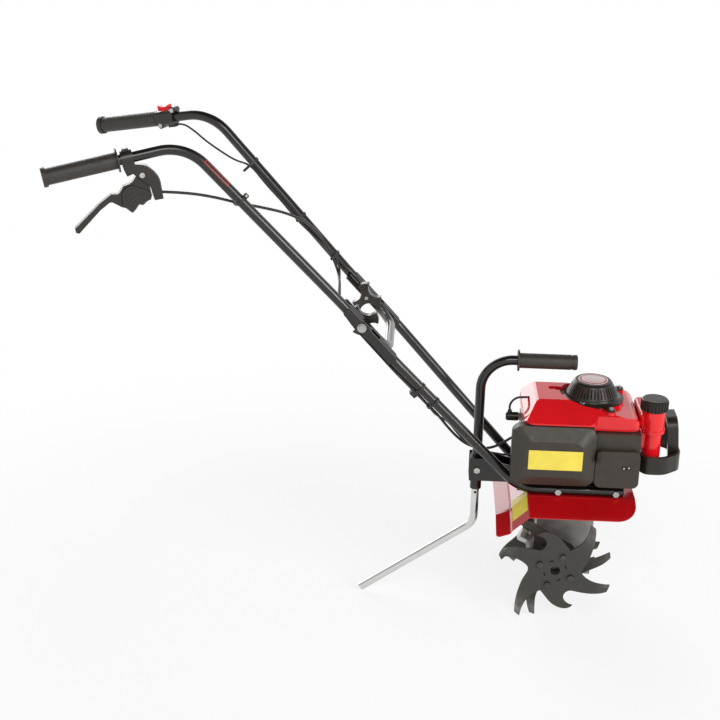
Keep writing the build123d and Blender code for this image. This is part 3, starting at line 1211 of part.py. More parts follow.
def front_guard():
    middle_z = GUARD_LOW_Z + GUARD_H / 2
    corners = [(BLOCK_FRONT_X, GUARD_FOOT_Y), GUARD_STEP, (GUARD_SIDE_X, GUARD_Y), (GUARD_NOSE_X, GUARD_Y),
               (GUARD_FRONT_X, GUARD_NOSE_Y)]
    points = [(x, -y, middle_z) for x, y in corners] + [(x, y, middle_z) for x, y in reversed(corners)]
    path = handle_path(points, list(GUARD_BENDS + GUARD_BENDS[::-1]))
    band = sweep(Plane(path @ 0, x_dir=(0, 0, 1), z_dir=path % 0) * Rectangle(GUARD_H, GUARD_T), path)
    band -= block((0, -GUARD_Y, 0), (BLOCK_FRONT_X, GUARD_Y, 2 * middle_z))
    foot_z = GUARD_LOW_Z + GUARD_H / 2
    top_x = ARCH_X - ARCH_LEAN
    arch_path = handle_path([(ARCH_X, -ARCH_HALF_Y, foot_z), (top_x, -ARCH_HALF_Y, ARCH_TOP_Z),
                             (top_x, ARCH_HALF_Y, ARCH_TOP_Z), (ARCH_X, ARCH_HALF_Y, foot_z)],
                             [ARCH_BEND_R] * 2)
    arch = sweep(Plane(arch_path @ 0, x_dir=(0, 1, 0), z_dir=arch_path % 0) * Rectangle(ARCH_T, ARCH_DEPTH),
                 arch_path)
    reach = FRONT_REACH
    return band + (arch & block((0, -GUARD_Y, 0), (reach, GUARD_Y, 2 * ARCH_TOP_Z)))


def spark_plug():
    plug = pin((CYL_REAR_X, 0, PLUG_Z), (CYL_REAR_X - SPARK_LEN, 0, PLUG_Z), SPARK_R)
    nut = Plane((CYL_REAR_X, 0, PLUG_Z), z_dir=(-1, 0, 0)) * extrude(hexagon(SPARK_NUT_AF), SPARK_R)
    return plug + nut


def spark_plug_cap():
    start = CYL_REAR_X - SPARK_R - CLEAR
    cap = pin((start, 0, PLUG_Z), (start - SPARK_CAP_LEN, 0, PLUG_Z), SPARK_CAP_R)
    cap = fillet(cap.faces().sort_by(Axis.X)[0].edges(), SPARK_CAP_R / 2)
    cap += pin((lead_foot_x(), 0, PLUG_Z), (lead_foot_x(), 0, PLUG_Z + SPARK_CAP_R + 2 * LEAD_R),
               SPARK_CAP_R / 2)
    return cap - pin((CYL_REAR_X, 0, PLUG_Z), (CYL_REAR_X - SPARK_LEN, 0, PLUG_Z), SPARK_R + SNUG)


def lead_foot_x():
    """Where the ignition lead stands on the plug cap."""
    return CYL_REAR_X - SPARK_R - LEAD_FOOT


def lead_points():
    """The ignition lead's route from the plug cap over and into the shroud."""
    foot_z = PLUG_Z + SPARK_CAP_R + 2 * LEAD_R + LEAD_R / 2
    return [(lead_foot_x(), 0, foot_z), (lead_foot_x() - LEAD_LEAN, 0, foot_z + LEAD_RISE),
            ((SHROUD_REAR_X + SHROUD_CREST_X) / 2 + 2 * LEAD_R, 0, (SHROUD_REAR_Z + SHROUD_CREST_Z) / 2)]


def ignition_lead():
    return rod(handle_path(lead_points(), [LEAD_LOOP_R]), LEAD_R)


def grip_frame(distance):
    """A frame on the left grip's centre line: X towards the grip's end, Y up, Z to the machine's outside."""
    origin = GRIP_END - GRIP_DIR * distance
    return Plane(origin, x_dir=GRIP_DIR, z_dir=GRIP_SIDE)


def handle_grips():
    """Two rubber grips; the right one has a thin stop flange beside the throttle."""
    seat = Plane(GRIP_END, z_dir=GRIP_DIR)
    grip = Cylinder(GRIP_R, GRIP_LEN, align=HANGING)
    grip += Cylinder(GRIP_FLANGE_R, GRIP_FLANGE_T, align=HANGING)
    grip += Cylinder(GRIP_FLANGE_R, GRIP_CAP_T, align=STANDING)
    bore = Cylinder(TUBE_R + SNUG, GRIP_LEN, align=HANGING)
    stop = Pos(0, 0, -GRIP_LEN) * Cylinder(GRIP_STOP_R, GRIP_STOP_T, align=STANDING)
    left = seat * (grip - bore)
    right = mirrored(seat * (grip + stop - bore))
    return Compound(children=left.solids() + right.solids())


def lever_frame():
    """The right control's frame: local X out along the grip, local Y up, local Z to the machine's left."""
    left = grip_frame(GRIP_LEN + CLAMP_INSET)
    flip = Vector(1, -1, 1)
    origin = Vector(left.origin.X, -left.origin.Y, left.origin.Z)
    x_dir = Vector(left.x_dir.X * flip.X, left.x_dir.Y * flip.Y, left.x_dir.Z * flip.Z)
    side = Vector(-x_dir.Y, x_dir.X, 0).normalized()
    return Plane(origin, x_dir=x_dir, z_dir=-side)


def throttle_housing():
    """A D-shaped case below the clamp, slotted for the lever, its leg bored for the cable."""
    side = HOUSING_OUTLINE + HOUSING_OUTLINE[:1]
    shape = make_face([Polyline(*HOUSING_OUTLINE), ThreePointArc(side[-2], HOUSING_BOW, side[-1])])
    body = extrude(shape, HOUSING_T / 2, both=True)
    body = fillet(body.faces().filter_by(Axis.Z).edges(), HOUSING_ROUND)
    slot_r = LEVER_HUB_R + 2 * SLOT_SIDE_CLEAR
    pivot_x, pivot_y = LEVER_PIVOT
    far_x, low_y = max(LEVER_OUTLINE)[0], 2 * min(y for x, y in HOUSING_OUTLINE)
    slot = Pos(*LEVER_PIVOT) * Circle(slot_r)
    slot += Polygon((pivot_x - slot_r, pivot_y), (pivot_x - slot_r, low_y), (far_x, low_y),
                    (far_x, pivot_y + slot_r),
                    (pivot_x, pivot_y + slot_r), align=None)
    body -= extrude(slot, LEVER_T / 2 + SLOT_SIDE_CLEAR, both=True)
    body += Pos(CLAMP_X[0], 0, 0) * extrude(Plane.YZ * Circle(CLAMP_R), CLAMP_X[1] - CLAMP_X[0])
    body += extrude(Polygon(*CLAMP_BLOCK, align=None), HOUSING_T / 2, both=True)
    body += block(*CLAMP_LUG)
    body -= extrude(Plane.YZ * Circle(TUBE_R + SNUG), far_x, both=True)
    body -= Pos(*LEVER_PIVOT) * Cylinder(LEVER_PIN_R + SNUG, 2 * HOUSING_T)
    return lever_frame() * body - pin(*THROTTLE_ROUTE[:2], THROTTLE_R + SNUG)


def throttle_lever():
    """The squeezed lever: a plate that runs in the housing's slot, a thicker block and a long tail."""
    pivot_x, pivot_y = LEVER_PIVOT
    neck = [(pivot_x - LEVER_HUB_R, pivot_y), (pivot_x + LEVER_HUB_R, pivot_y)]
    shape = Polygon(*LEVER_OUTLINE, *neck, align=None)
    shape = fillet(shape.vertices().filter_by(lambda corner: corner.Y < pivot_y - LEVER_HUB_R),
                   LEVER_ROUND / 2)
    lever = extrude(shape + Pos(*LEVER_PIVOT) * Circle(LEVER_HUB_R), LEVER_T / 2, both=True)
    grip_block = extrude(Polygon(*LEVER_BLOCK, align=None), LEVER_BLOCK_T / 2, both=True)
    lever += fillet(grip_block.faces().filter_by(Axis.Z).edges(), LEVER_ROUND)
    lever -= Pos(*LEVER_PIVOT) * Cylinder(LEVER_PIN_R + RUNNING, 2 * LEVER_T)
    return lever_frame() * lever


def switch_frame():
    """The stop switch's frame on the left grip's centre line, just inside the grip."""
    return grip_frame(GRIP_LEN + SWITCH_GAP + SWITCH_LEN / 2)


def switch_housing():
    """A clamped box with two screw lugs and an outlet for the stop wire."""
    body = Box(SWITCH_LEN, SWITCH_H, SWITCH_W)
    body = fillet(body.edges().filter_by(Axis.X), SWITCH_CORNER)
    for lug in SWITCH_LUGS:
        body += Pos(*lug) * Cylinder(SWITCH_LUG_R, SWITCH_LUG_T)
    body += block(*SWITCH_OUTLET)
    body -= Rot(0, 90, 0) * Cylinder(TUBE_R + SNUG, 2 * SWITCH_LEN)
    for lug in SWITCH_LUGS:
        body -= Pos(*lug) * Cylinder(SCREW_R + SNUG, 2 * SWITCH_LUG_T)
        body -= Pos(*lug, -SWITCH_LUG_T / 2) * Cylinder(SCREW_HEAD_R + CLEAR, SWITCH_W, align=HANGING)
    body -= Pos(0, SWITCH_H / 2, 0) * Rot(90, 0, 0) * Cylinder(STOP_STEM_R + RUNNING, 2 * STOP_STEM_LEN)
    return switch_frame() * body - pin(*STOP_ROUTE[:2], STOP_R + SNUG)


def clamp_screw(radius, head_radius, depth):
    """A round-headed screw standing on the local XY plane, its head below it."""
    return Cylinder(radius, depth, align=STANDING) + Cylinder(head_radius, SCREW_HEAD_T, align=HANGING)


def control_screws():
    """The lever's pivot screw and the switch's two clamp screws, heads to the machine's right."""
    pivot = Pos(*LEVER_PIVOT, -HOUSING_T / 2) * clamp_screw(LEVER_PIN_R, LEVER_HEAD_R, HOUSING_T)
    screws = (lever_frame() * pivot).solids()
    for lug in SWITCH_LUGS:
        screw = Pos(*lug, -SWITCH_LUG_T / 2) * clamp_screw(SCREW_R, SCREW_HEAD_R, SWITCH_LUG_T)
        screws += (switch_frame() * screw).solids()
    return Compound(children=screws)


def stop_knob():
    """A bow-tie knob: narrow and low in the middle, wide and high at its two wings."""
    half, waist, wing = STOP_KNOB_LEN / 2, STOP_WAIST / 2, STOP_KNOB_W / 2
    plan = Polygon((-half, -wing), (0, -waist), (half, -wing), (half, wing), (0, waist), (-half, wing),
                   align=None)
    plan = fillet(plan.vertices().filter_by(lambda corner: abs(corner.X) > waist), STOP_ROUND)
    side = Polygon((-half, STOP_LIFT), (-waist, 0), (waist, 0), (half, STOP_LIFT), (half, STOP_KNOB_H),
                   (waist, STOP_DIP_H), (-waist, STOP_DIP_H), (-half, STOP_KNOB_H), align=None)
    knob = Plane.XZ * extrude(plan, -STOP_KNOB_H) & extrude(side, STOP_KNOB_W, both=True)
    stem = Pos(0, STOP_ROUND, 0) * Rot(90, 0, 0) * Cylinder(STOP_STEM_R, STOP_STEM_LEN, align=STANDING)
    return switch_frame() * Pos(0, SWITCH_H / 2 + CLEAR, 0) * (knob + stem)


def right_lower(distance, under, inward):
    """A point beside the right lower tube: distance down from the joint, then off its centre line."""
    level = JOINT - UP * JOINT_LEVEL_LOW
    if distance <= JOINT_LEVEL_LOW:
        centre = JOINT - UP * distance
    else:
        run = LOW_BEND - level
        centre = level + run * ((distance - JOINT_LEVEL_LOW) / run.length)
    centre += UNDER * under
    return Vector(centre.X, -centre.Y + inward, centre.Z)


def upper_beside(distance, under, inward, side):
    """A point beside an upper tube: distance up from the joint, then off its centre line."""
    level = JOINT + UP * JOINT_LEVEL_HIGH
    run = HIGH_BEND - level
    centre = level + run * ((distance - JOINT_LEVEL_HIGH) / run.length) + UNDER * under
    return Vector(centre.X, side * (centre.Y - inward), centre.Z)


def beside_joint(up, under, y):
    """A point near the fold axis: up along the handle, then under it, at the given Y."""
    centre = JOINT + UP * up + UNDER * under
    return Vector(centre.X, y, centre.Z)


# Each cable's whole route, from the controls to the engine.
THROTTLE_ROUTE = [
    lever_frame().from_local_coords(Vector(*HOUSING_CABLE, 0)), (-827, -177, 1000), (-790, -167, 995),
    (-752, -156, 986), upper_beside(376, 12, 14, -1), (-668, -112, 958), (-624, -68, 937), (-588, -14, 907),
    (-566, 36, 874), (-550, 80, 836), upper_beside(112, 4, 15, 1), beside_joint(80, 15, 100),
    beside_joint(68, 19, 58),
    beside_joint(63, 20, 12), beside_joint(58, 20, -34), beside_joint(50, 19.5, -72),
    beside_joint(24, 19, -98),
    beside_joint(-14, 19, -103), beside_joint(-54, 18.5, -104), beside_joint(-92, 18, -107),
    right_lower(124, 16, 5),
    right_lower(155, 15.5, 4), right_lower(191, 15.5, 4), right_lower(238, 17, 5), (-281, -96, 498),
    (-262, -86, 470),
    (-240, -72, 440), (-216, -56, 414), (-186, -44, 398), (-156, -46, 402), (-132, -56, 420),
    (-112, -66, 440),
    (-90, -68, 448), (INTAKE_X - CARB_W / 2 - CLEAR / 2, -66, 446)]
STOP_ROUTE = [
    switch_frame().from_local_coords(Vector(*SWITCH_WIRE, 0)), (-880, 194.5, 1067), (-856, 193.5, 1052),
    (-832, 191, 1032), (-800, 184, 1012), (-762, 173, 992), upper_beside(392, 6, 15, 1),
    upper_beside(340, 9, 14.5, 1),
    upper_beside(285, 7, 15, 1), upper_beside(228, 9, 14.5, 1), upper_beside(170, 3, 15.5, 1),
    upper_beside(112, -5, 16, 1), beside_joint(84, 8, 103), beside_joint(74, 14, 60),
    beside_joint(70, 16, 14),
    beside_joint(66, 16, -32), beside_joint(59, 16, -74), beside_joint(34, 17, -104),
    beside_joint(-6, 18.5, -111),
    beside_joint(-46, 18.5, -112), beside_joint(-86, 18, -115), right_lower(124, 16, -3),
    right_lower(155, 15.5, -4),
    right_lower(191, 15.5, -4), right_lower(238, 16, -3), (-287, -107, 503), (-258, -92, 482),
    (-238, -82, 452),
    (-216, -70, 424), (-190, -56, 402), (-160, -44, 390), (-128, -36, 382), (-92, -30, 377), (-44, -25, 374),
    (BLOCK_REAR_X - CLEAR / 2, -24, 374)]
# The runs where the moving span begins and ends on each route.
THROTTLE_SPAN = (12, 20)
STOP_SPAN = (13, 21)


def route_bends(points):
    """The largest bend radii that a route's runs allow."""
    bends = []
    for before, corner, after in zip(points, points[1:], points[2:]):
        into, out = corner - before, after - corner
        turn = radians(into.get_angle(out))
        bends.append(BEND_SHARE * min(into.length, out.length) / tan(turn / 2))
    return bends


def cord(route, first_run, last_run, radius):
    """The stretch of a cable between the middles of two runs, or from or to its end when a run is None."""
    points = [Vector(*point) for point in route]
    bends = route_bends(points)

    def middle(run, way):
        along = points[run] - points[run - 1]
        return points[run] - along / 2 + along.normalized() * way * CLEAR / 2

    head = [middle(first_run, 1)] if first_run else points[:1]
    tail = [middle(last_run, -1)] if last_run else points[-1:]
    kept = slice(first_run or 1, last_run or len(points) - 1)
    kept_bends = bends[kept.start - 1:kept.stop - 1]
    path = handle_path(head + points[kept] + tail, kept_bends)
    tube = rod(path, radius)
    share = tube.volume / (path.length * pi * radius**2)
    print("cable bends", [round(r) for r in kept_bends], "length", round(path.length), "volume share",
          round(share, 4))
    return tube


def cable_node(throttle_runs, stop_runs):
    throttle = cord(THROTTLE_ROUTE, *throttle_runs, THROTTLE_R)
    stop = cord(STOP_ROUTE, *stop_runs, STOP_R)
    return Compound(children=throttle.solids() + stop.solids())


def crossing(route, seat):
    """Where a cable meets a tie's plane, in the plane's own frame, and the room its slant needs."""
    points = [Vector(*point) for point in route]
    path = handle_path(points, route_bends(points))
    near = [path.position_at(step / ROUTE_STEPS) for step in range(ROUTE_STEPS + 1)]
    near = [place for place in near if (place - seat.origin).length < TIE_REACH]
    place = min(near, key=lambda point: abs(seat.to_local_coords(point).Z))
    slant = radians(path.tangent_at(path.param_at_point(place)).get_angle(seat.z_dir))
    local = seat.to_local_coords(place)
    return local.X, local.Y, TIE_W / 2 * abs(tan(slant)) + TIE_SLACK


def cable_tie(centre, direction, cables):
    """A band round a tube and the cables beside it, square to the tube."""
    seat = Plane(centre, z_dir=direction)
    rings = [(0.0, 0.0, TUBE_R)]
    for route, radius in cables:
        x, y, room = crossing(route, seat)
        rings.append((x, y, radius + room))
    outline = Sketch() + [Pos(x, y) * Circle(radius + TIE_T + SNUG) for x, y, radius in rings]
    band = make_hull(outline.edges())
    for x, y, radius in rings:
        band -= Pos(x, y) * Circle(radius + SNUG)
    return seat * extrude(band, TIE_W / 2, both=True)


def cable_ties_lower():
    level = JOINT - UP * JOINT_LEVEL_LOW
    run = (level - LOW_BEND).normalized()
    direction = Vector(run.X, -run.Y, run.Z)
    cables = [(THROTTLE_ROUTE, THROTTLE_R), (STOP_ROUTE, STOP_R)]
    ties = [cable_tie(right_lower(distance, 0, 0), direction, cables) for distance in LOWER_TIES]
    return Compound(children=[solid for tie in ties for solid in tie.solids()])


def cable_ties_upper():
    run = (HIGH_BEND - JOINT - UP * JOINT_LEVEL_HIGH).normalized()
    throttle, stop = (THROTTLE_ROUTE, THROTTLE_R), (STOP_ROUTE, STOP_R)
    ties = []
    for distance, side, cables in ((RIGHT_TIE, -1, [throttle]), (LEFT_TIES[0], 1, [stop]),
                                   (LEFT_TIES[1], 1, [stop]),
                                   (LEFT_TIES[2], 1, [throttle, stop])):
        direction = Vector(run.X, side * run.Y, run.Z)
        ties += cable_tie(upper_beside(distance, 0, 0, side), direction, cables).solids()
    return Compound(children=ties)


PIECES = {
    "lower_handles": lambda: pair(lower_handle_left()),
    "handle_joint_plates": handle_joint_plates,
    "joint_bolts": joint_bolts,
    "cross_brace": cross_brace,
    "engine_base": engine_base,
    "frame_bolts": frame_bolts,
    "fender": fender,
    "rear_bracket": rear_bracket,
    "transport_handle": transport_handle,
    "transport_grip": transport_grip,
    "clutch_housing": clutch_housing,
    "gearcase_left": lambda: gearcase_half(1),
    "gearcase_right": lambda: gearcase_half(-1),
    "gearcase_bearings": gearcase_bearings,
    "oil_plug": oil_plug,
    "engine_block": engine_block,
    "engine_shroud": engine_shroud,
    "starter_housing": starter_housing,
    "starter_screws": starter_screws,
    "fuel_tank": fuel_tank,
    "air_cleaner_base": air_cleaner_base,
    "air_filter": air_filter,
    "air_cleaner_cover": air_cleaner_cover,
    "side_cover": side_cover,
    "front_guard": front_guard,
    "spark_plug": spark_plug,
    "spark_plug_cap": spark_plug_cap,
    "ignition_lead": ignition_lead,
    "carburettor": carburettor,
    "muffler": muffler,
    "cable_ties_lower": cable_ties_lower,
    "cables_lower": lambda: cable_node((THROTTLE_SPAN[1], None), (STOP_SPAN[1], None)),
    "upper_handles": lambda: pair(upper_handle_left()),
    "handle_grips": handle_grips,
    "throttle_housing": throttle_housing,
    "switch_housing": switch_housing,
    "control_screws": control_screws,
    "cables_upper": lambda: cable_node((None, THROTTLE_SPAN[0]), (None, STOP_SPAN[0])),
    "cables_span": lambda: cable_node(THROTTLE_SPAN, STOP_SPAN),
    "cable_ties_upper": cable_ties_upper,
    "throttle_lever": throttle_lever,
    "stop_knob": stop_knob,
    "joint_knob_left": lambda: joint_knob(LEFT_KNOB_TURN),
    "joint_knob_right": lambda: mirrored(joint_knob(0)),
    "drag_stake": drag_stake,
    "fuel_cap": fuel_cap,
    "starter_grip": starter_grip,
    "starter_rope": starter_rope,
    "starter_pulley": starter_pulley,
    "crankshaft": crankshaft,
    "flywheel": flywheel,
    "clutch_shoes": clutch_shoes,
    "worm_shaft": worm_shaft,
    "clutch_drum": clutch_drum,
    "tine_axle": tine_axle,
    "worm_wheel": worm_wheel,
    "tine_hubs": tine_hubs,
    "tine_discs_outer": tine_discs_outer,
    "tine_discs_inner": tine_discs_inner,
    "tine_bolts": tine_bolts,
}

os.makedirs("parts", exist_ok=True)
for name, make in PIECES.items():
    export_step(Pos(ORIGIN_SHIFT, 0, 0) * make(), f"parts/{name}.step")
print("origin shift", round(ORIGIN_SHIFT, 3), "joint", JOINT, "lever frame", lever_frame())
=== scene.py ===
import math

import bpy
from bpy.props import FloatProperty, FloatVectorProperty, PointerProperty
from mathutils import Matrix, Vector


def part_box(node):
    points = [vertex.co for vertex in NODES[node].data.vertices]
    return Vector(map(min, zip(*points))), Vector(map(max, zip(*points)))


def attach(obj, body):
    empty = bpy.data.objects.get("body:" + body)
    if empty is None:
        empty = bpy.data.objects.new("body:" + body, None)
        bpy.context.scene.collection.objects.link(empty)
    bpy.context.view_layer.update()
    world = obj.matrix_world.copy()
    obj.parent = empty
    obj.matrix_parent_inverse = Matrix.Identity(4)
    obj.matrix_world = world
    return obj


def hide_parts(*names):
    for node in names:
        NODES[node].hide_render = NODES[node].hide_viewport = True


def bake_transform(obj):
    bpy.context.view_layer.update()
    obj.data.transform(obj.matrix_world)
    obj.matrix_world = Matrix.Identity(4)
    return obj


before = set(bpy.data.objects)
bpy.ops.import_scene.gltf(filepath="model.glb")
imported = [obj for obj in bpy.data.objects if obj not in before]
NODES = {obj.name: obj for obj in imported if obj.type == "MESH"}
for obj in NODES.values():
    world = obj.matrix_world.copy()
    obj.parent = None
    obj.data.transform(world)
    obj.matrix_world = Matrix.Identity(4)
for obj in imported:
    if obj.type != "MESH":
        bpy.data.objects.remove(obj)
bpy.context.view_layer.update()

bl_info = {
    "name": "Garden tiller",
    "version": (1, 0, 0),
    "blender": (4, 5, 0),
    "location": "View3D > Sidebar > Tiller",
    "description": "Dresses the garden tiller's solids and sets its studio",
    "category": "Object",
}

METRE = 1000.0
ORIGIN_SHIFT = Vector((0.414732, 0.0, 0.0))
AXLE_HEIGHT = 0.13
AXLE = ORIGIN_SHIFT + Vector((0.0, 0.0, AXLE_HEIGHT))

# Places are in millimetres from the floor under the axle, sizes, edges and rises in metres.
# Handle: its slope, the fold axis, where the tubes leave the joint and the way they run from there.
SLOPE = math.radians(47.1)
UP = Vector((-math.cos(SLOPE), 0.0, math.sin(SLOPE)))
UNDER = Vector((-math.sin(SLOPE), 0.0, -math.cos(SLOPE)))
JOINT = Vector((-451.27, 0.0, 707.306))
TUBE_Y = 122.0
LEFT = 1.0
RIGHT = -1.0
HIGH_START = 70.0
LOW_START = 115.0
RUN_HIGH = Vector((-315.9, 50.0, 339.9)) / 466.7
RUN_LOW = Vector((282.6, -46.0, -304.1)) / 417.6
STRIPE_AT = (-757.0, -163.0, 1036.5)
STRIPE_OUT = Vector((0.48, -0.75, 0.44))
STRIPE_RISE = 0.013

# Right control: the grip's inner end, its own directions, and the lever's ribs in these directions.
GRIP_RIGHT = Vector((-925.106, -210.287, 1075.84))
GRIP_OUT = Vector((-0.927463, -0.321844, -0.190338))
GRIP_UP = Vector((-0.179819, -0.0624, 0.981718))
GRIP_NEAR = Vector((0.327837, -0.944734, 0.0))
LEVER_RIB = (0.021, 0.0026, 0.002)
LEVER_RIB_EDGE = 0.0007
LEVER_RIB_SLANT = GRIP_OUT * -0.45 + GRIP_UP * -0.89
LEVER_RIBS = ((13.0, -82.0, 11.4), (8.0, -80.5, 11.4), (3.0, -79.0, 11.4), (18.0, -86.0, 11.4))

# Cables over the fold: up the handle, under it and across, in millimetres from the fold axis.
THROTTLE_SPAN = ((74, 17, 79), (68, 19, 58), (63, 20, 12), (58, 20, -34), (50, 19.5, -72), (24, 19, -98),
                 (-14, 19, -103), (-54, 18.5, -104), (-92, 18, -107), (-108, 17, -111.5))
STOP_SPAN = ((79, 11, 81.5), (74, 14, 60), (70, 16, 14), (66, 16, -32), (59, 16, -74), (34, 17, -104),
             (-6, 18.5, -111), (-46, 18.5, -112), (-86, 18, -115), (-105, 17, -119.5))

# Ties and clips: distances along the tube from the fold axis and drops under it, in millimetres.
TIES_HIGH = (391.0, 228.0, 112.0)
TIE_LOW = 238.0
TIE_LOCK = (0.0065, 0.007, 0.0045)
TIE_LOCK_EDGE = 0.0012
TIE_LOCK_LEAN = 0.6
TIE_LOCK_RISE = 0.0138
TIE_TAIL = (0.014, 0.006, 0.0024)
TIE_TAIL_EDGE = 0.0009
TIE_TAIL_DROP = 25.0
CLIP = (0.017, 0.017, 0.014)
CLIP_EDGE = 0.002
CLIP_ALONG = 191.0
CLIP_DROP = 19.0
EAR = (0.011, 0.009, 0.009)
EAR_EDGE = 0.002
EAR_ALONG = 376.0
EAR_DROP = -15.5
RIVET = (0.0065, 0.0106, 0.0065)
RIVET_EDGE = 0.0021
RIVET_DROP = -16.5

# Starter: the dome's top, and the rope's place and its far end, in millimetres. The disc is four plies of
# vinyl, and its ring's place and width are shares of its radius.
DOME_AT = (64.0, 0.0, 558.0)
DISC_LIFT = 0.0006
DISC_PLIES = 4.0
DISC_SIDES = 72
DISC_SEGMENTS = 2
RING_SHARE = 0.86
RING_SOLID = 0.04
RING_FADED = 0.06
ROPE_X = 91.0
ROPE_Z = 505.0
ROPE_END = 98.0
STRANDS = 3
STRAND_STEPS = 12
SCREW_AT = (38.0, -56.0, 523.0)
SCREW_TURN = (math.radians(24.0), math.radians(-12.0), 0.0)
SCREW_RADIUS = 0.0048
SCREW_DEPTH = 0.004
SCREW_EDGE = 0.0012

# Side cover: along the machine, out from the cover's face, and up, in millimetres.
LATCH_BAR = (0.009, 0.009, 0.027)
LATCH_BAR_EDGE = 0.002
LATCH_BAR_FROM_FACE = (74.0, 4.0, 424.0)
LATCH_HOOK = (0.005, 0.013, 0.009)
LATCH_HOOK_EDGE = 0.0015
LATCH_HOOK_FROM_FACE = (71.0, 6.0, 417.0)
# The slot bar is a thin dark plate on the cover's face, standing for the recessed slot's painted shade.
SLOT_SHADE = (0.019, 0.0012, 0.0085)
SLOT_SHADE_EDGE = 0.0005
SLOT_SHADE_FROM_FACE = (137.0, 0.3, 398.2)
STUD = (0.0042, 0.003, 0.0042)
STUD_EDGE = 0.0012
STUDS_FROM_FACE = ((131.5, 1.0, 397.4), (142.0, 1.0, 399.0))

# Muffler, stake, hubs and stickers. The welds' distance from the middle is in metres and their angles are in
# degrees. The sticker's bed and the patches' lift are shares of the vinyl's thickness.
MUFFLER_RIB = (0.074, 0.0045, 0.0055)
MUFFLER_RIB_EDGE = 0.0018
MUFFLER_RIBS_AT = tuple((16.0, 118.6, z) for z in (374.0, 388.0, 402.0, 416.0, 430.0))
BUTTON_AT = (-186.0, -6.6, 272.0)
BUTTON_RADIUS = 0.0031
BUTTON_DEPTH = 0.004
BUTTON_EDGE = 0.0008
WELD_Y = 0.107
WELD_ANGLES = (22.0, 112.0, 202.0, 292.0)
WELD_SWEEP = 20.0
WELD_STEPS = 6
STICKER_AT = (-21.5, 0.0, 419.3)
STICKER_CORNER = 0.0015
STICKER_SEGMENTS = 4
STICKER_BED = 0.8
FENDER_STICKER_AT = (-89.0, -92.0, 330.0)
PATCH_GRID = (40, 16)
PATCH_LIFT = 1.2
TUBE_ROUNDING = 4
TUBE_ORDER = 3
TUBE_STEPS = 8
SMOOTH_ANGLE = math.radians(35.0)
UPRIGHT = (math.radians(90.0), 0.0, 0.0)

# Studio, in metres: each lamp's place, aim and size, the floor and its glow, the ceiling's dimming, and the
# camera's aim from the axle's foot.
KEY_LAMP = ((0.5, -2.9, 3.0), (0.1, 0.0, 0.5), (1.6, 1.6))
RIGHT_LAMP = ((3.05, -2.27, 1.8), (0.0, 0.0, 0.6), (1.8, 1.8))
REAR_LAMP = ((-1.3, 3.0, 2.2), (0.1, 0.0, 1.85), (2.6, 4.2))
FLOOR_SIZE = 60.0
FLOOR_DROP = 0.0002
FLOOR_COLOUR = (0.94, 0.94, 0.94)
FLOOR_GLOW = 0.72
FLOOR_NEAR = 0.7
FLOOR_FAR = 1.6
CEILING = 0.08
CEILING_START = 0.4
CEILING_END = 0.8
CAMERA_AIM = Vector((-0.4595, 0.0, 0.5838))
SENSOR = 36.0

# Finishes: scale of the moulded grain, the paint's clear coat, and heights of the painted highlight on the
# brace's bend.
GRAIN_SCALE = 900.0
COAT_SHARE = 0.3
COAT_ROUGHNESS = 0.05
HIGHLIGHT_FULL = 0.005
HIGHLIGHT_GONE = 0.045


def spot(x, y, z):
    """A place given in millimetres from the floor under the axle."""
    return ORIGIN_SHIFT + Vector((x, y, z)) / METRE


def beside_joint(up, under, y):
    """A place near the fold axis: up along the handle, under it, then across."""
    place = JOINT + UP * up + UNDER * under
    return spot(place.x, y, place.z)


def on_tube(along, side, under, low=False):
    """A place by a handle tube: along it from the fold axis, on the left or the right, and under it."""
    start, run = (JOINT - UP * LOW_START, RUN_LOW) if low else (JOINT + UP * HIGH_START, RUN_HIGH)
    place = start + run * (along - (LOW_START if low else HIGH_START)) + UNDER * under
    return spot(place.x, side * (TUBE_Y + place.y), place.z)


def tube_way(side, low=False):
    """The way a handle tube runs from the fold axis."""
    run = RUN_LOW if low else RUN_HIGH
    return Vector((run.x, side * run.y, run.z))


def on_lever(x, y, z):
    """A place in the right control's own directions: out along the grip, up, and to the machine's right."""
    return spot(*(GRIP_RIGHT + GRIP_OUT * x + GRIP_UP * y + GRIP_NEAR * z))


def facing(along, out):
    """The turn that takes X along one direction and Z out along another."""
    x_dir = Vector(along).normalized()
    y_dir = Vector(out).cross(x_dir).normalized()
    z_dir = x_dir.cross(y_dir)
    return Matrix((x_dir, y_dir, z_dir)).transposed().to_euler()


def colour(name, about, default):
    """A colour property."""
    return FloatVectorProperty(name=name, description=about, default=default, size=3, min=0.0, max=1.0,
                               subtype="COLOR")


def length(name, about, default):
    """A length property in metres."""
    return FloatProperty(name=name, description=about, default=default, min=0.0, unit="LENGTH", precision=4)


def angle(name, about, degrees):
    """An angle property, given in degrees."""
    return FloatProperty(name=name, description=about, default=math.radians(degrees), subtype="ANGLE")


def power(name, about, default):
    """A lamp's power in watts."""
    return FloatProperty(name=name, description=about, default=default, unit="POWER")


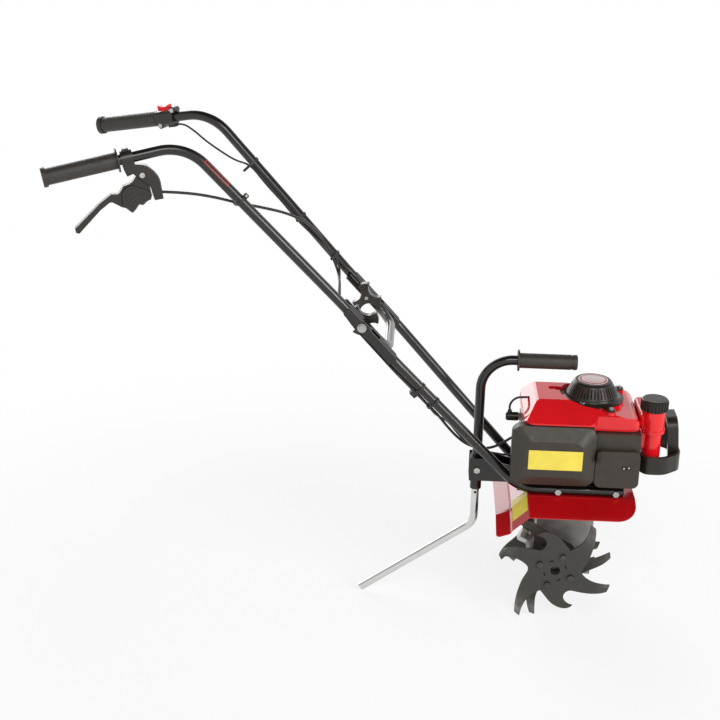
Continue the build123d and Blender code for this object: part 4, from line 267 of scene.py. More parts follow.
class TillerColours(bpy.types.PropertyGroup):
    """Colours of the tiller's finishes."""

    red_enamel: colour("Red enamel", "Painted fender", (0.42, 0.0045, 0.007))
    red_moulding: colour("Red moulding", "Shroud, tank and stop knob", (0.68, 0.006, 0.011))
    black_coat: colour("Black coat", "Powder coat of the tubes", (0.0075, 0.0055, 0.0045))
    black_moulding: colour("Black moulding", "Covers and controls", (0.033, 0.026, 0.0185))
    rubber: colour("Rubber", "Grips and cable sheaths", (0.033, 0.0285, 0.024))
    zinc: colour("Zinc", "Plated bolts and plug", (0.52, 0.51, 0.49))
    chrome: colour("Bright plate", "Drag stake", (0.64, 0.64, 0.63))
    tine_steel: colour("Tine steel", "Satin paint of the tines", (0.031, 0.028, 0.023))
    # Bare steel is also the colour of the painted highlight towards the tine tips.
    bare_steel_and_tip_highlight: colour("Bare steel and tip highlight", "Painted tine tip highlight and machined pieces", (0.42, 0.41, 0.4))
    cast_alloy: colour("Cast alloy", "Gearcase and engine", (0.34, 0.33, 0.315))
    # The brace colour is a painted highlight on the cross brace's low bend.
    brace_highlight: colour("Brace highlight", "Painted highlight on the cross brace's low bend", (0.3, 0.295, 0.285))
    sticker: colour("Sticker", "Blank sticker places", (0.74, 0.6, 0.085))
    stripe: colour("Stripe", "Plain stripe on the handle", (0.55, 0.02, 0.012))
    disc: colour("Disc", "Plain disc on the starter dome", (0.6, 0.47, 0.47))
    bronze: colour("Bronze", "Worm wheel", (0.55, 0.36, 0.14))


class TillerSizes(bpy.types.PropertyGroup):
    """Sizes of the pieces that are modelled here."""

    sticker_width: length("Sticker width", "Blank sticker on the air cleaner", 0.118)
    sticker_height: length("Sticker height", "Blank sticker on the air cleaner", 0.0455)
    fender_sticker_width: length("Fender sticker width", "Blank sticker on the fender, across", 0.07)
    fender_sticker_length: length("Fender sticker length", "Blank sticker on the fender, along", 0.032)
    vinyl: length("Vinyl thickness", "Stickers, stripe and disc edge", 0.0003)
    badge_radius: length("Badge radius", "Plain disc on the starter dome", 0.033)
    stripe_length: length("Stripe length", "Plain stripe on the right handle tube", 0.068)
    stripe_width: length("Stripe width", "Plain stripe on the right handle tube", 0.0105)
    stripe_border: length("Stripe border", "Line round the stripe's open middle", 0.0013)
    throttle_radius: length("Throttle cable radius", "Outer sheath", 0.003)
    stop_radius: length("Stop wire radius", "Outer sheath", 0.0022)
    strand_radius: length("Rope strand radius", "Each of the starter rope's three strands", 0.00105)
    strand_pitch: length("Rope pitch", "One turn of a strand", 0.011)
    weld_radius: length("Weld radius", "Beads between hub and disc", 0.0255)
    bead: length("Weld bead", "Half the thickness of a weld bead", 0.0014)


class TillerStage(bpy.types.PropertyGroup):
    """Camera and lamps."""

    azimuth: angle("Azimuth", "Camera's turn about the machine", 2.472)
    elevation: angle("Elevation", "Camera's height angle", 20.474)
    roll: angle("Roll", "Camera's roll", 1.281)
    distance: length("Distance", "Camera to its aim", 3.2373)
    lens: FloatProperty(name="Lens", description="Focal length for a 36 mm sensor", default=72.02,
                        unit="CAMERA")
    key: power("Key lamp", "Lamp above the camera", 38.0)
    side: power("Right lamp", "Lamp at the right", 70.0)
    rear: power("Rear lamp", "Lamp behind the handle", 80.0)


def new_finish(name, base, roughness, metallic=0.0, gloss=0.5):
    """A material with its Principled shader set, its node tree and its object coordinates."""
    material = bpy.data.materials.new(name)
    material.use_nodes = True
    tree = material.node_tree
    surface = tree.nodes["Principled BSDF"]
    surface.inputs["Base Color"].default_value = (*base, 1.0)
    surface.inputs["Roughness"].default_value = roughness
    surface.inputs["Metallic"].default_value = metallic
    surface.inputs["Specular IOR Level"].default_value = gloss
    place = tree.nodes.new("ShaderNodeTexCoord").outputs["Object"]
    return material, tree, surface, place


def noise(tree, place, scale, detail=3.0, stretch=None):
    """A noise texture's value, stretched along an axis when asked."""
    if stretch:
        mapping = tree.nodes.new("ShaderNodeMapping")
        mapping.inputs["Scale"].default_value = stretch
        tree.links.new(place, mapping.inputs["Vector"])
        place = mapping.outputs["Vector"]
    texture = tree.nodes.new("ShaderNodeTexNoise")
    texture.inputs["Scale"].default_value = scale
    texture.inputs["Detail"].default_value = detail
    tree.links.new(place, texture.inputs["Vector"])
    return texture.outputs["Fac"]


def spread(tree, value, low=0.0, high=1.0, start=0.35, end=0.65):
    """A value spread to a new range."""
    node = tree.nodes.new("ShaderNodeMapRange")
    for socket, number in zip(("From Min", "From Max", "To Min", "To Max"), (start, end, low, high)):
        node.inputs[socket].default_value = number
    tree.links.new(value, node.inputs["Value"])
    return node.outputs["Result"]


def mottle(tree, surface, value, dark, light):
    """Base colour between two shades."""
    mix = tree.nodes.new("ShaderNodeMix")
    mix.data_type = "RGBA"
    mix.inputs["A"].default_value = (*dark, 1.0)
    mix.inputs["B"].default_value = (*light, 1.0)
    tree.links.new(value, mix.inputs["Factor"])
    tree.links.new(mix.outputs["Result"], surface.inputs["Base Color"])


def relief(tree, surface, value, depth):
    """Surface bump of a given depth in metres."""
    bump = tree.nodes.new("ShaderNodeBump")
    bump.inputs["Distance"].default_value = depth
    bump.inputs["Strength"].default_value = 1.0
    tree.links.new(value, bump.inputs["Height"])
    tree.links.new(bump.outputs["Normal"], surface.inputs["Normal"])


def shade(base, factor):
    """A colour made darker or lighter."""
    return tuple(min(1.0, channel * factor) for channel in base)


def coat_finish(name, base, roughness, peel, gloss=0.3):
    """Paint: faint patches, a slightly uneven gloss and orange peel under a thin clear coat."""
    material, tree, surface, place = new_finish(name, base, roughness=roughness, gloss=gloss)
    mottle(tree, surface, spread(tree, noise(tree, place, scale=9.0)), shade(base, 0.92), shade(base, 1.08))
    tree.links.new(spread(tree, noise(tree, place, scale=35.0), low=roughness * 0.85, high=roughness * 1.2),
                   surface.inputs["Roughness"])
    relief(tree, surface, noise(tree, place, scale=420.0, detail=2.0), depth=peel)
    surface.inputs["Coat Weight"].default_value = COAT_SHARE * gloss
    surface.inputs["Coat Roughness"].default_value = COAT_ROUGHNESS
    return material


def moulded_finish(name, base, roughness, grain, gloss=0.3):
    """Moulded plastic: fine grain, soft patches and faint rubs."""
    material, tree, surface, place = new_finish(name, base, roughness=roughness, gloss=gloss)
    mottle(tree, surface, spread(tree, noise(tree, place, scale=40.0)), shade(base, 0.93), shade(base, 1.1))
    tree.links.new(spread(tree, noise(tree, place, scale=60.0), low=roughness * 0.88, high=roughness * 1.14),
                   surface.inputs["Roughness"])
    cells = tree.nodes.new("ShaderNodeTexVoronoi")
    cells.inputs["Scale"].default_value = GRAIN_SCALE
    tree.links.new(place, cells.inputs["Vector"])
    relief(tree, surface, cells.outputs["Distance"], depth=grain)
    return material


def plated_finish(name, base, roughness, stretch, cloud=0.18):
    """Bright metal with fine drawn lines and cloudy plating."""
    material, tree, surface, place = new_finish(name, base, roughness=roughness, metallic=1.0)
    mottle(tree, surface, spread(tree, noise(tree, place, scale=30.0)), shade(base, 1.0 - cloud),
           shade(base, 1.0 + 0.6 * cloud))
    lines = noise(tree, place, scale=260.0, detail=4.0, stretch=stretch)
    tree.links.new(spread(tree, lines, low=roughness * 0.7, high=roughness * 1.5),
                   surface.inputs["Roughness"])
    relief(tree, surface, lines, depth=0.00006)
    return material


def brace_finish(name, dark, bright, low):
    """Black paint, lighter towards the brace's low bend as a painted highlight."""
    material, tree, surface, place = new_finish(name, dark, roughness=0.22, metallic=0.6)
    parts = tree.nodes.new("ShaderNodeSeparateXYZ")
    tree.links.new(place, parts.inputs["Vector"])
    # Painted highlight: the colour lightens towards the brace's lowest point.
    painted_highlight = spread(tree, parts.outputs["Z"], low=1.0, high=0.0, start=low + HIGHLIGHT_FULL, end=low + HIGHLIGHT_GONE)
    mottle(tree, surface, painted_highlight, dark, bright)
    lines = noise(tree, place, scale=260.0, detail=4.0, stretch=(1.0, 8.0, 1.0))
    tree.links.new(spread(tree, lines, low=0.16, high=0.3), surface.inputs["Roughness"])
    relief(tree, surface, lines, depth=0.00004)
    return material


def cast_finish(name, base, roughness, depth):
    """Sand-cast metal: coarse grain and darker hollows."""
    material, tree, surface, place = new_finish(name, base, roughness=roughness, metallic=0.85)
    grain = noise(tree, place, scale=330.0, detail=6.0)
    mottle(tree, surface, spread(tree, noise(tree, place, scale=45.0, detail=5.0)), shade(base, 0.82),
           shade(base, 1.1))
    tree.links.new(spread(tree, grain, low=roughness * 0.8, high=roughness * 1.2),
                   surface.inputs["Roughness"])
    relief(tree, surface, grain, depth=depth)
    return material


def tine_finish(name, base, tip_highlight):
    """Satin paint on the tines, lighter in patches towards the blade tips as a painted highlight."""
    material, tree, surface, place = new_finish(name, base, roughness=0.5)
    offset = tree.nodes.new("ShaderNodeVectorMath")
    offset.operation = "SUBTRACT"
    offset.inputs[1].default_value = AXLE
    tree.links.new(place, offset.inputs[0])
    flat = tree.nodes.new("ShaderNodeVectorMath")
    flat.operation = "MULTIPLY"
    flat.inputs[1].default_value = (1.0, 0.0, 1.0)
    tree.links.new(offset.outputs["Vector"], flat.inputs[0])
    reach = tree.nodes.new("ShaderNodeVectorMath")
    reach.operation = "LENGTH"
    tree.links.new(flat.outputs["Vector"], reach.inputs[0])
    # Painted highlight: the colour lightens in patches towards the blade tips.
    painted_highlight = spread(tree, reach.outputs["Value"], high=0.3, start=0.1, end=0.14)
    patches = spread(tree, noise(tree, place, scale=60.0, detail=5.0), low=0.1, start=0.4, end=0.7)
    tip_highlight_mask = tree.nodes.new("ShaderNodeMath")
    tip_highlight_mask.operation = "MULTIPLY"
    tree.links.new(painted_highlight, tip_highlight_mask.inputs[0])
    tree.links.new(patches, tip_highlight_mask.inputs[1])
    mottle(tree, surface, tip_highlight_mask.outputs["Value"], base, tip_highlight)
    tree.links.new(spread(tree, noise(tree, place, scale=90.0, detail=5.0), low=0.38, high=0.62),
                   surface.inputs["Roughness"])
    relief(tree, surface, noise(tree, place, scale=500.0, detail=4.0), depth=0.00012)
    return material


def sticker_finish(name, base):
    """Blank satin vinyl with faint unevenness."""
    material, tree, surface, place = new_finish(name, base, roughness=0.35, gloss=0.2)
    mottle(tree, surface, spread(tree, noise(tree, place, scale=25.0)), shade(base, 0.94), shade(base, 1.05))
    relief(tree, surface, noise(tree, place, scale=140.0, detail=2.0), depth=0.00005)
    return material


def disc_finish(name, pale, rim, radius):
    """A plain pale disc with a thin darker ring near its edge."""
    material, tree, surface, place = new_finish(name, pale, roughness=0.28, metallic=0.3)
    offset = tree.nodes.new("ShaderNodeVectorMath")
    offset.operation = "SUBTRACT"
    offset.inputs[1].default_value = spot(*DOME_AT)
    tree.links.new(place, offset.inputs[0])
    reach = tree.nodes.new("ShaderNodeVectorMath")
    reach.operation = "LENGTH"
    tree.links.new(offset.outputs["Vector"], reach.inputs[0])
    away = tree.nodes.new("ShaderNodeMath")
    away.operation = "SUBTRACT"
    away.inputs[1].default_value = RING_SHARE * radius
    tree.links.new(reach.outputs["Value"], away.inputs[0])
    width = tree.nodes.new("ShaderNodeMath")
    width.operation = "ABSOLUTE"
    tree.links.new(away.outputs["Value"], width.inputs[0])
    ring = spread(tree, width.outputs["Value"], start=RING_SOLID * radius, end=RING_FADED * radius)
    mottle(tree, surface, ring, rim, pale)
    relief(tree, surface, noise(tree, place, scale=200.0, detail=2.0), depth=0.00004)
    return material


def dress(material, *nodes):
    """Gives CAD nodes one finish."""
    for name in nodes:
        mesh = NODES[name].data
        mesh.materials.clear()
        mesh.materials.append(material)


def start_piece(name):
    """Names the piece just added, and its mesh."""
    piece = bpy.context.object
    piece.name = name
    piece.data.name = name
    return piece


def clear_selection():
    """Leaves nothing selected."""
    bpy.ops.object.select_all(action="DESELECT")


def pick(piece):
    """Selects one piece and makes it active."""
    clear_selection()
    piece.select_set(True)
    bpy.context.view_layer.objects.active = piece


def finish_mesh(piece, material):
    """Puts a piece's place into its mesh, smooths it and gives it its finish."""
    pick(piece)
    bpy.ops.object.transform_apply(location=True, rotation=True, scale=True)
    bpy.ops.object.shade_smooth_by_angle(angle=SMOOTH_ANGLE)
    piece.data.materials.clear()
    piece.data.materials.append(material)


def settle(piece, body, material):
    """Finishes a piece and rides it on its body."""
    finish_mesh(piece, material)
    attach(piece, body)


def joined(name, pieces):
    """Joins pieces into one."""
    pick(pieces[0])
    for piece in pieces:
        piece.select_set(True)
    bpy.ops.object.join()
    return start_piece(name)


def round_edges(width, segments=3):
    """Bevels every edge of the active piece."""
    bpy.ops.object.mode_set(mode="EDIT")
    bpy.ops.mesh.select_all(action="SELECT")
    bpy.ops.mesh.bevel(offset=width, segments=segments, affect="EDGES")
    bpy.ops.object.mode_set(mode="OBJECT")


def rounded_block(name, size, place, edge, turn=(0.0, 0.0, 0.0)):
    """A block with rounded edges."""
    clear_selection()
    bpy.ops.mesh.primitive_cube_add(size=1.0, location=place, rotation=turn)
    piece = start_piece(name)
    piece.scale = size
    bpy.ops.object.transform_apply(location=False, rotation=False, scale=True)
    round_edges(edge)
    return piece


def rounded_disc(name, radius, depth, place, edge, turn=(0.0, 0.0, 0.0), vertices=32, segments=3):
    """A round plate with rounded rims."""
    clear_selection()
    bpy.ops.mesh.primitive_cylinder_add(vertices=vertices, radius=radius, depth=depth, location=place,
                                        rotation=turn)
    piece = start_piece(name)
    round_edges(edge, segments)
    return piece


def smooth_tubes(name, lines, radius):
    """Round tubes on smooth lines through their control points."""
    curve = bpy.data.curves.new(name, "CURVE")
    curve.dimensions = "3D"
    curve.bevel_depth = radius
    curve.bevel_resolution = TUBE_ROUNDING
    curve.use_fill_caps = True
    for points in lines:
        spline = curve.splines.new("NURBS")
        spline.points.add(len(points) - 1)
        for knot, place in zip(spline.points, points):
            knot.co = (*place, 1.0)
        spline.order_u = TUBE_ORDER
        spline.use_endpoint_u = True
        spline.resolution_u = TUBE_STEPS
    piece = bpy.data.objects.new(name, curve)
    bpy.context.scene.collection.objects.link(piece)
    pick(piece)
    bpy.ops.object.convert(target="MESH")
    return start_piece(name)


def laid_patch(name, size, place, turn, host, thickness, method, border=None):
    """A thin patch pressed on a CAD node's surface, cut out to a border when asked."""
    clear_selection()
    columns, rows = PATCH_GRID
    bpy.ops.mesh.primitive_grid_add(x_subdivisions=columns, y_subdivisions=rows, size=1.0, location=place,
                                    rotation=turn)
    piece = start_piece(name)
    if border:
        bpy.ops.object.mode_set(mode="EDIT")
        bpy.ops.mesh.select_mode(type="FACE")
        bpy.ops.mesh.select_all(action="DESELECT")
        bpy.ops.object.mode_set(mode="OBJECT")
        for face in piece.data.polygons:
            face.select = all(abs(at) * wide < wide / 2.0 - border for at, wide in zip(face.center.xy, size))
        bpy.ops.object.mode_set(mode="EDIT")
        bpy.ops.mesh.delete(type="FACE")
        bpy.ops.mesh.select_mode(type="VERT")
        bpy.ops.object.mode_set(mode="OBJECT")
    piece.scale = (*size, 1.0)
    bpy.ops.object.transform_apply(location=True, rotation=True, scale=True)
    bpy.ops.object.modifier_add(type="SHRINKWRAP")
    press = piece.modifiers[-1]
    press.target = NODES[host]
    press.wrap_method = method
    press.offset = PATCH_LIFT * thickness
    if method == "PROJECT":
        press.use_project_z = True
        press.use_positive_direction = True
        press.use_negative_direction = True
    bpy.ops.object.modifier_apply(modifier=press.name)
    bpy.ops.object.modifier_add(type="SOLIDIFY")
    wall = piece.modifiers[-1]
    wall.thickness = thickness
    wall.offset = 0.0
    bpy.ops.object.modifier_apply(modifier=wall.name)
    return piece


class TILLER_OT_handle(bpy.types.Operator):
    """Finish the handle tubes, brace, plates and grips, and add the plain stripe"""

    bl_idname = "tiller.handle"
    bl_label = "Handle"

    def execute(self, context):
        shades, sizes = context.scene.tiller_colours, context.scene.tiller_sizes
        dress(coat_finish("black powder coat", shades.black_coat, roughness=0.18, peel=0.00003, gloss=0.5),
              "lower_handles", "upper_handles", "transport_handle", "rear_bracket", "engine_base",
              "handle_joint_plates")
        # The brace gets a painted highlight at its low bend.
        dress(brace_finish("brace coat", shades.black_coat, shades.brace_highlight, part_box("cross_brace")[0].z),
              "cross_brace")
        dress(moulded_finish("grip rubber", shades.rubber, roughness=0.42, grain=0.0002, gloss=0.4),
              "handle_grips", "transport_grip")
        red = sticker_finish("stripe red vinyl", shades.stripe)
        place = spot(*STRIPE_AT) + STRIPE_OUT.normalized() * STRIPE_RISE
        stripe = laid_patch("handle_stripe", (sizes.stripe_length, sizes.stripe_width), place,
                            facing(tube_way(RIGHT), STRIPE_OUT), "upper_handles", sizes.vinyl,
                            "NEAREST_SURFACEPOINT", sizes.stripe_border)
        settle(stripe, "upper_handle", red)
        return {"FINISHED"}


class TILLER_OT_cables(bpy.types.Operator):
    """Finish the cables, the span over the fold, the ties and the starter rope"""

    bl_idname = "tiller.cables"
    bl_label = "Cables"

    def execute(self, context):
        shades, sizes = context.scene.tiller_colours, context.scene.tiller_sizes
        sheath = moulded_finish("cable sheath", shade(shades.rubber, 0.7), roughness=0.38, grain=0.00006)
        nylon = moulded_finish("cable tie nylon", shade(shades.rubber, 0.9), roughness=0.4, grain=0.0001)
        dress(sheath, "cables_upper", "cables_lower", "ignition_lead")
        dress(nylon, "cable_ties_upper", "cable_ties_lower")
        throttle = smooth_tubes("throttle_span", [[beside_joint(*point) for point in THROTTLE_SPAN]],
                                sizes.throttle_radius)
        stop = smooth_tubes("stop_span", [[beside_joint(*point) for point in STOP_SPAN]], sizes.stop_radius)
        span = joined("cable_span", [throttle, stop])
        finish_mesh(span, sheath)
        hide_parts("cables_span")
        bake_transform(span)
        bright = plated_finish("rivet plate", shades.zinc, roughness=0.25, stretch=(1.0, 1.0, 1.0))
        self.tie_heads(nylon, bright)
        self.rope(sizes, shades)
        return {"FINISHED"}

    def tie_heads(self, nylon, bright):
        """A lock block on each cable tie, one tie's cut tail, a cable clip and a riveted clip ear."""
        ties = [(along, LEFT, False, "upper_handle") for along in TIES_HIGH]
        ties.append((TIE_LOW, RIGHT, True, "frame"))
        for number, (along, side, low, body) in enumerate(ties):
            out = Vector((0.0, side, 0.0)) - UNDER * TIE_LOCK_LEAN
            foot = on_tube(along, side, 0.0, low) + out.normalized() * TIE_LOCK_RISE
            lock = rounded_block(f"tie_lock_{number}", TIE_LOCK, foot, TIE_LOCK_EDGE,
                                 facing(tube_way(side, low), out))
            settle(lock, body, nylon)
        tail = rounded_block("tie_tail", TIE_TAIL, on_tube(TIES_HIGH[0], LEFT, TIE_TAIL_DROP), TIE_TAIL_EDGE,
                             facing(UNDER, (0.0, RIGHT, 0.0)))
        settle(tail, "upper_handle", nylon)
        clip = rounded_block("cable_clip", CLIP, on_tube(CLIP_ALONG, RIGHT, CLIP_DROP, low=True), CLIP_EDGE,
                             facing(tube_way(RIGHT, low=True), UNDER))
        settle(clip, "frame", nylon)
        turn = facing(tube_way(RIGHT), -UNDER)
        ear = rounded_block("clip_ear", EAR, on_tube(EAR_ALONG, RIGHT, EAR_DROP), EAR_EDGE, turn)
        settle(ear, "upper_handle", nylon)
        rivet = rounded_block("clip_rivet", RIVET, on_tube(EAR_ALONG, RIGHT, RIVET_DROP), RIVET_EDGE, turn)
        settle(rivet, "upper_handle", bright)

    def rope(self, sizes, shades):
        """A starter rope of twisted strands."""
        start = spot(ROPE_X, 0.0, ROPE_Z)
        reach = ROPE_END / METRE
        steps = int(STRAND_STEPS * reach / sizes.strand_pitch)
        strands = []
        for strand in range(STRANDS):
            points = []
            for step in range(steps + 1):
                y = reach * step / steps
                turn = 2.0 * math.pi * (y / sizes.strand_pitch + strand / STRANDS)
                swing = Vector((math.cos(turn), 0.0, math.sin(turn))) * sizes.strand_radius
                points.append(start + Vector((0.0, y, 0.0)) + swing)
            strands.append(points)
        rope = smooth_tubes("starter_rope_strands", strands, sizes.strand_radius)
        cord = moulded_finish("starter rope", shade(shades.rubber, 3.0), roughness=0.8, grain=0.0001)
        finish_mesh(rope, cord)
        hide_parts("starter_rope")
        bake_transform(rope)


class TILLER_OT_controls(bpy.types.Operator):
    """Finish the knobs, throttle and stop switch, and rib the lever"""

    bl_idname = "tiller.controls"
    bl_label = "Controls"

    def execute(self, context):
        shades = context.scene.tiller_colours
        plastic = moulded_finish("control plastic", shade(shades.black_moulding, 0.5), roughness=0.26,
                                 grain=0.00008, gloss=0.5)
        dress(plastic, "throttle_housing", "throttle_lever", "switch_housing", "joint_knob_left",
              "joint_knob_right")
        dress(coat_finish("stop knob plastic", shades.red_moulding, roughness=0.25, peel=0.00004),
              "stop_knob")
        turn = facing(LEVER_RIB_SLANT, GRIP_NEAR)
        ribs = [rounded_block(f"lever_rib_{number}", LEVER_RIB, on_lever(*place), LEVER_RIB_EDGE, turn)
                for number, place in enumerate(LEVER_RIBS)]
        settle(joined("lever_ribs", ribs), "throttle_lever", plastic)
        return {"FINISHED"}


class TILLER_OT_engine(bpy.types.Operator):
    """Finish the engine's mouldings and castings"""

    bl_idname = "tiller.engine"
    bl_label = "Engine"

    def execute(self, context):
        shades = context.scene.tiller_colours
        red = coat_finish("shroud red", shades.red_moulding, roughness=0.1, peel=0.00002, gloss=0.5)
        dress(red, "engine_shroud", "fuel_tank")
        cover = moulded_finish("cover plastic", shades.black_moulding, roughness=0.36, grain=0.00012,
                               gloss=0.4)
        dress(cover, "air_cleaner_cover", "air_cleaner_base", "side_cover")
        black = shade(shades.black_moulding, 0.5)
        dress(moulded_finish("guard plastic", black, roughness=0.3, grain=0.0001, gloss=0.4), "front_guard")
        dress(moulded_finish("starter plastic", black, roughness=0.26, grain=0.00006),
              "starter_housing", "fuel_cap", "starter_grip", "starter_pulley", "spark_plug_cap")
        dress(cast_finish("cast alloy", shades.cast_alloy, roughness=0.5, depth=0.0004),
              "engine_block", "clutch_housing", "gearcase_left", "gearcase_right", "carburettor")
        iron = cast_finish("flywheel iron", shade(shades.cast_alloy, 0.4), roughness=0.6, depth=0.0004)
        dress(iron, "flywheel")
        foam = moulded_finish("filter foam", shade(shades.black_moulding, 2.0), roughness=0.9, grain=0.0008)
        dress(foam, "air_filter")
        dress(plated_finish("machined steel", shades.bare_steel_and_tip_highlight, roughness=0.35, stretch=(1.0, 1.0, 12.0)),
              "crankshaft", "worm_shaft", "clutch_drum", "clutch_shoes", "gearcase_bearings", "spark_plug",
              "tine_axle", "muffler")
        bronze = plated_finish("worm wheel bronze", shades.bronze, roughness=0.35, stretch=(1.0, 12.0, 1.0))
        dress(bronze, "worm_wheel")
        return {"FINISHED"}


class TILLER_OT_trim(bpy.types.Operator):
    """Add the side cover's latch, a dark plate as the slot's painted shade, studs, the starter's disc and
    screw, and the muffler's ribs
    """

    bl_idname = "tiller.trim"
    bl_label = "Engine trim"

    def execute(self, context):
        shades, sizes = context.scene.tiller_colours, context.scene.tiller_sizes
        plastic = moulded_finish("trim plastic", shade(shades.black_moulding, 0.6), roughness=0.4,
                                 grain=0.0001)
        bright = plated_finish("stud plate", shades.zinc, roughness=0.25, stretch=(1.0, 1.0, 1.0))
        latch = rounded_block("cover_latch_bar", LATCH_BAR, self.on_side(*LATCH_BAR_FROM_FACE),
                              LATCH_BAR_EDGE)
        hook = rounded_block("cover_latch_hook", LATCH_HOOK, self.on_side(*LATCH_HOOK_FROM_FACE),
                             LATCH_HOOK_EDGE)
        settle(joined("cover_latch", [latch, hook]), "frame", plastic)
        # Painted shade: a dark plate where the side cover has a recessed slot.
        slot_shade = rounded_block("side_slot_shade", SLOT_SHADE, self.on_side(*SLOT_SHADE_FROM_FACE), SLOT_SHADE_EDGE)
        settle(slot_shade, "frame", plastic)
        studs = [rounded_block(f"side_stud_{number}", STUD, self.on_side(*place), STUD_EDGE)
                 for number, place in enumerate(STUDS_FROM_FACE)]
        settle(joined("side_studs", studs), "frame", bright)
        disc = rounded_disc("starter_disc", sizes.badge_radius, DISC_PLIES * sizes.vinyl,
                            spot(*DOME_AT) + Vector((0.0, 0.0, DISC_LIFT)), sizes.vinyl, vertices=DISC_SIDES,
                            segments=DISC_SEGMENTS)
        rim = shade(shades.red_moulding, 0.5)
        settle(disc, "frame", disc_finish("starter disc", shades.disc, rim, sizes.badge_radius))
        screw = rounded_disc("starter_front_screw", SCREW_RADIUS, SCREW_DEPTH, spot(*SCREW_AT), SCREW_EDGE,
                             SCREW_TURN)
        settle(screw, "frame", bright)
        ribs = [rounded_block(f"muffler_rib_{number}", MUFFLER_RIB, spot(*place), MUFFLER_RIB_EDGE)
                for number, place in enumerate(MUFFLER_RIBS_AT)]
        ribs = joined("muffler_ribs", ribs)
        sheet = plated_finish("muffler sheet", shades.bare_steel_and_tip_highlight, roughness=0.4, stretch=(12.0, 1.0, 1.0))
        settle(ribs, "frame", sheet)
        return {"FINISHED"}

    def on_side(self, x, stand, z):
        """A place in front of the side cover's face."""
        return spot(x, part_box("side_cover")[0].y * METRE - stand, z)


class TILLER_OT_ground(bpy.types.Operator):
    """Finish the fender, stake, bolts and tines, and add the stake's button and the hubs' weld beads"""

    bl_idname = "tiller.ground"
    bl_label = "Fender and tines"

    def execute(self, context):
        shades, sizes = context.scene.tiller_colours, context.scene.tiller_sizes
        enamel = coat_finish("fender enamel", shades.red_enamel, roughness=0.1, peel=0.00003, gloss=0.5)
        dress(enamel, "fender")
        plate = plated_finish("stake plate", shades.chrome, roughness=0.12, stretch=(6.0, 6.0, 1.0),
                              cloud=0.03)
        dress(plate, "drag_stake")
        dress(plated_finish("zinc plate", shades.zinc, roughness=0.3, stretch=(1.0, 4.0, 1.0)),
              "frame_bolts", "joint_bolts", "starter_screws", "oil_plug", "control_screws")
        steel = shade(shades.bare_steel_and_tip_highlight, 0.22)
        dress(plated_finish("black bolt steel", steel, roughness=0.3, stretch=(1.0, 4.0, 1.0)), "tine_bolts")
        place = spot(*BUTTON_AT)
        button = rounded_disc("stake_button", BUTTON_RADIUS, BUTTON_DEPTH, place, BUTTON_EDGE, UPRIGHT)
        coat = coat_finish("button paint", shades.black_coat, roughness=0.4, peel=0.00004)
        settle(button, "drag_stake", coat)
        # The tine paint lightens towards the blade tips as a painted highlight.
        paint = tine_finish("tine paint", shades.tine_steel, shades.bare_steel_and_tip_highlight)
        dress(paint, "tine_discs_outer", "tine_discs_inner", "tine_hubs")
        beads = []
        for side in (RIGHT, LEFT):
            for middle in WELD_ANGLES:
                line = []
                for step in range(WELD_STEPS + 1):
                    turn = math.radians(middle + WELD_SWEEP * (step / WELD_STEPS - 0.5))
                    line.append(AXLE + Vector((math.cos(turn) * sizes.weld_radius, side * WELD_Y,
                                               math.sin(turn) * sizes.weld_radius)))
                beads.append(line)
        welds = smooth_tubes("hub_welds", beads, sizes.bead)
        bead = cast_finish("weld bead", shade(shades.tine_steel, 0.5), roughness=0.5, depth=0.0006)
        settle(welds, "tines", bead)
        return {"FINISHED"}


class TILLER_OT_stickers(bpy.types.Operator):
    """Add the blank stickers"""

    bl_idname = "tiller.stickers"
    bl_label = "Blank stickers"

    def execute(self, context):
        shades, sizes = context.scene.tiller_colours, context.scene.tiller_sizes
        vinyl = sticker_finish("blank yellow vinyl", shades.sticker)
        place = spot(*STICKER_AT)
        place.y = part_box("air_cleaner_cover")[0].y - sizes.vinyl
        clear_selection()
        bpy.ops.mesh.primitive_plane_add(size=1.0, location=place, rotation=UPRIGHT)
        sticker = start_piece("air_cleaner_sticker")
        sticker.scale = (sizes.sticker_width, sizes.sticker_height, 1.0)
        bpy.ops.object.transform_apply(location=False, rotation=False, scale=True)
        bpy.ops.object.mode_set(mode="EDIT")
        bpy.ops.mesh.select_all(action="SELECT")
        bpy.ops.mesh.bevel(offset=STICKER_CORNER, segments=STICKER_SEGMENTS, affect="VERTICES")
        bed = (0.0, STICKER_BED * sizes.vinyl, 0.0)
        bpy.ops.mesh.extrude_region_move(TRANSFORM_OT_translate={"value": bed})
        bpy.ops.mesh.select_all(action="SELECT")
        bpy.ops.mesh.normals_make_consistent(inside=False)
        bpy.ops.object.mode_set(mode="OBJECT")
        settle(sticker, "frame", vinyl)
        patch = laid_patch("fender_sticker", (sizes.fender_sticker_length, sizes.fender_sticker_width),
                           spot(*FENDER_STICKER_AT), (0.0, 0.0, 0.0), "fender", sizes.vinyl, "PROJECT")
        settle(patch, "frame", vinyl)
        return {"FINISHED"}


class TILLER_OT_stage(bpy.types.Operator):
    """Set the floor, lamps and camera"""

    bl_idname = "tiller.stage"
    bl_label = "Studio"

    def execute(self, context):
        scene = context.scene
        stage = scene.tiller_stage
        clear_selection()
        bpy.ops.mesh.primitive_plane_add(size=FLOOR_SIZE, location=(0.0, 0.0, -FLOOR_DROP))
        floor = start_piece("studio_floor")
        floor.data.materials.append(backdrop_finish("studio floor"))
        lamp("key lamp", *KEY_LAMP, stage.key)
        lamp("right lamp", *RIGHT_LAMP, stage.side)
        lamp("rear wall lamp", *REAR_LAMP, stage.rear)
        set_world(scene)
        set_camera(scene, stage)
        scene.view_settings.view_transform = "Standard"
        return {"FINISHED"}


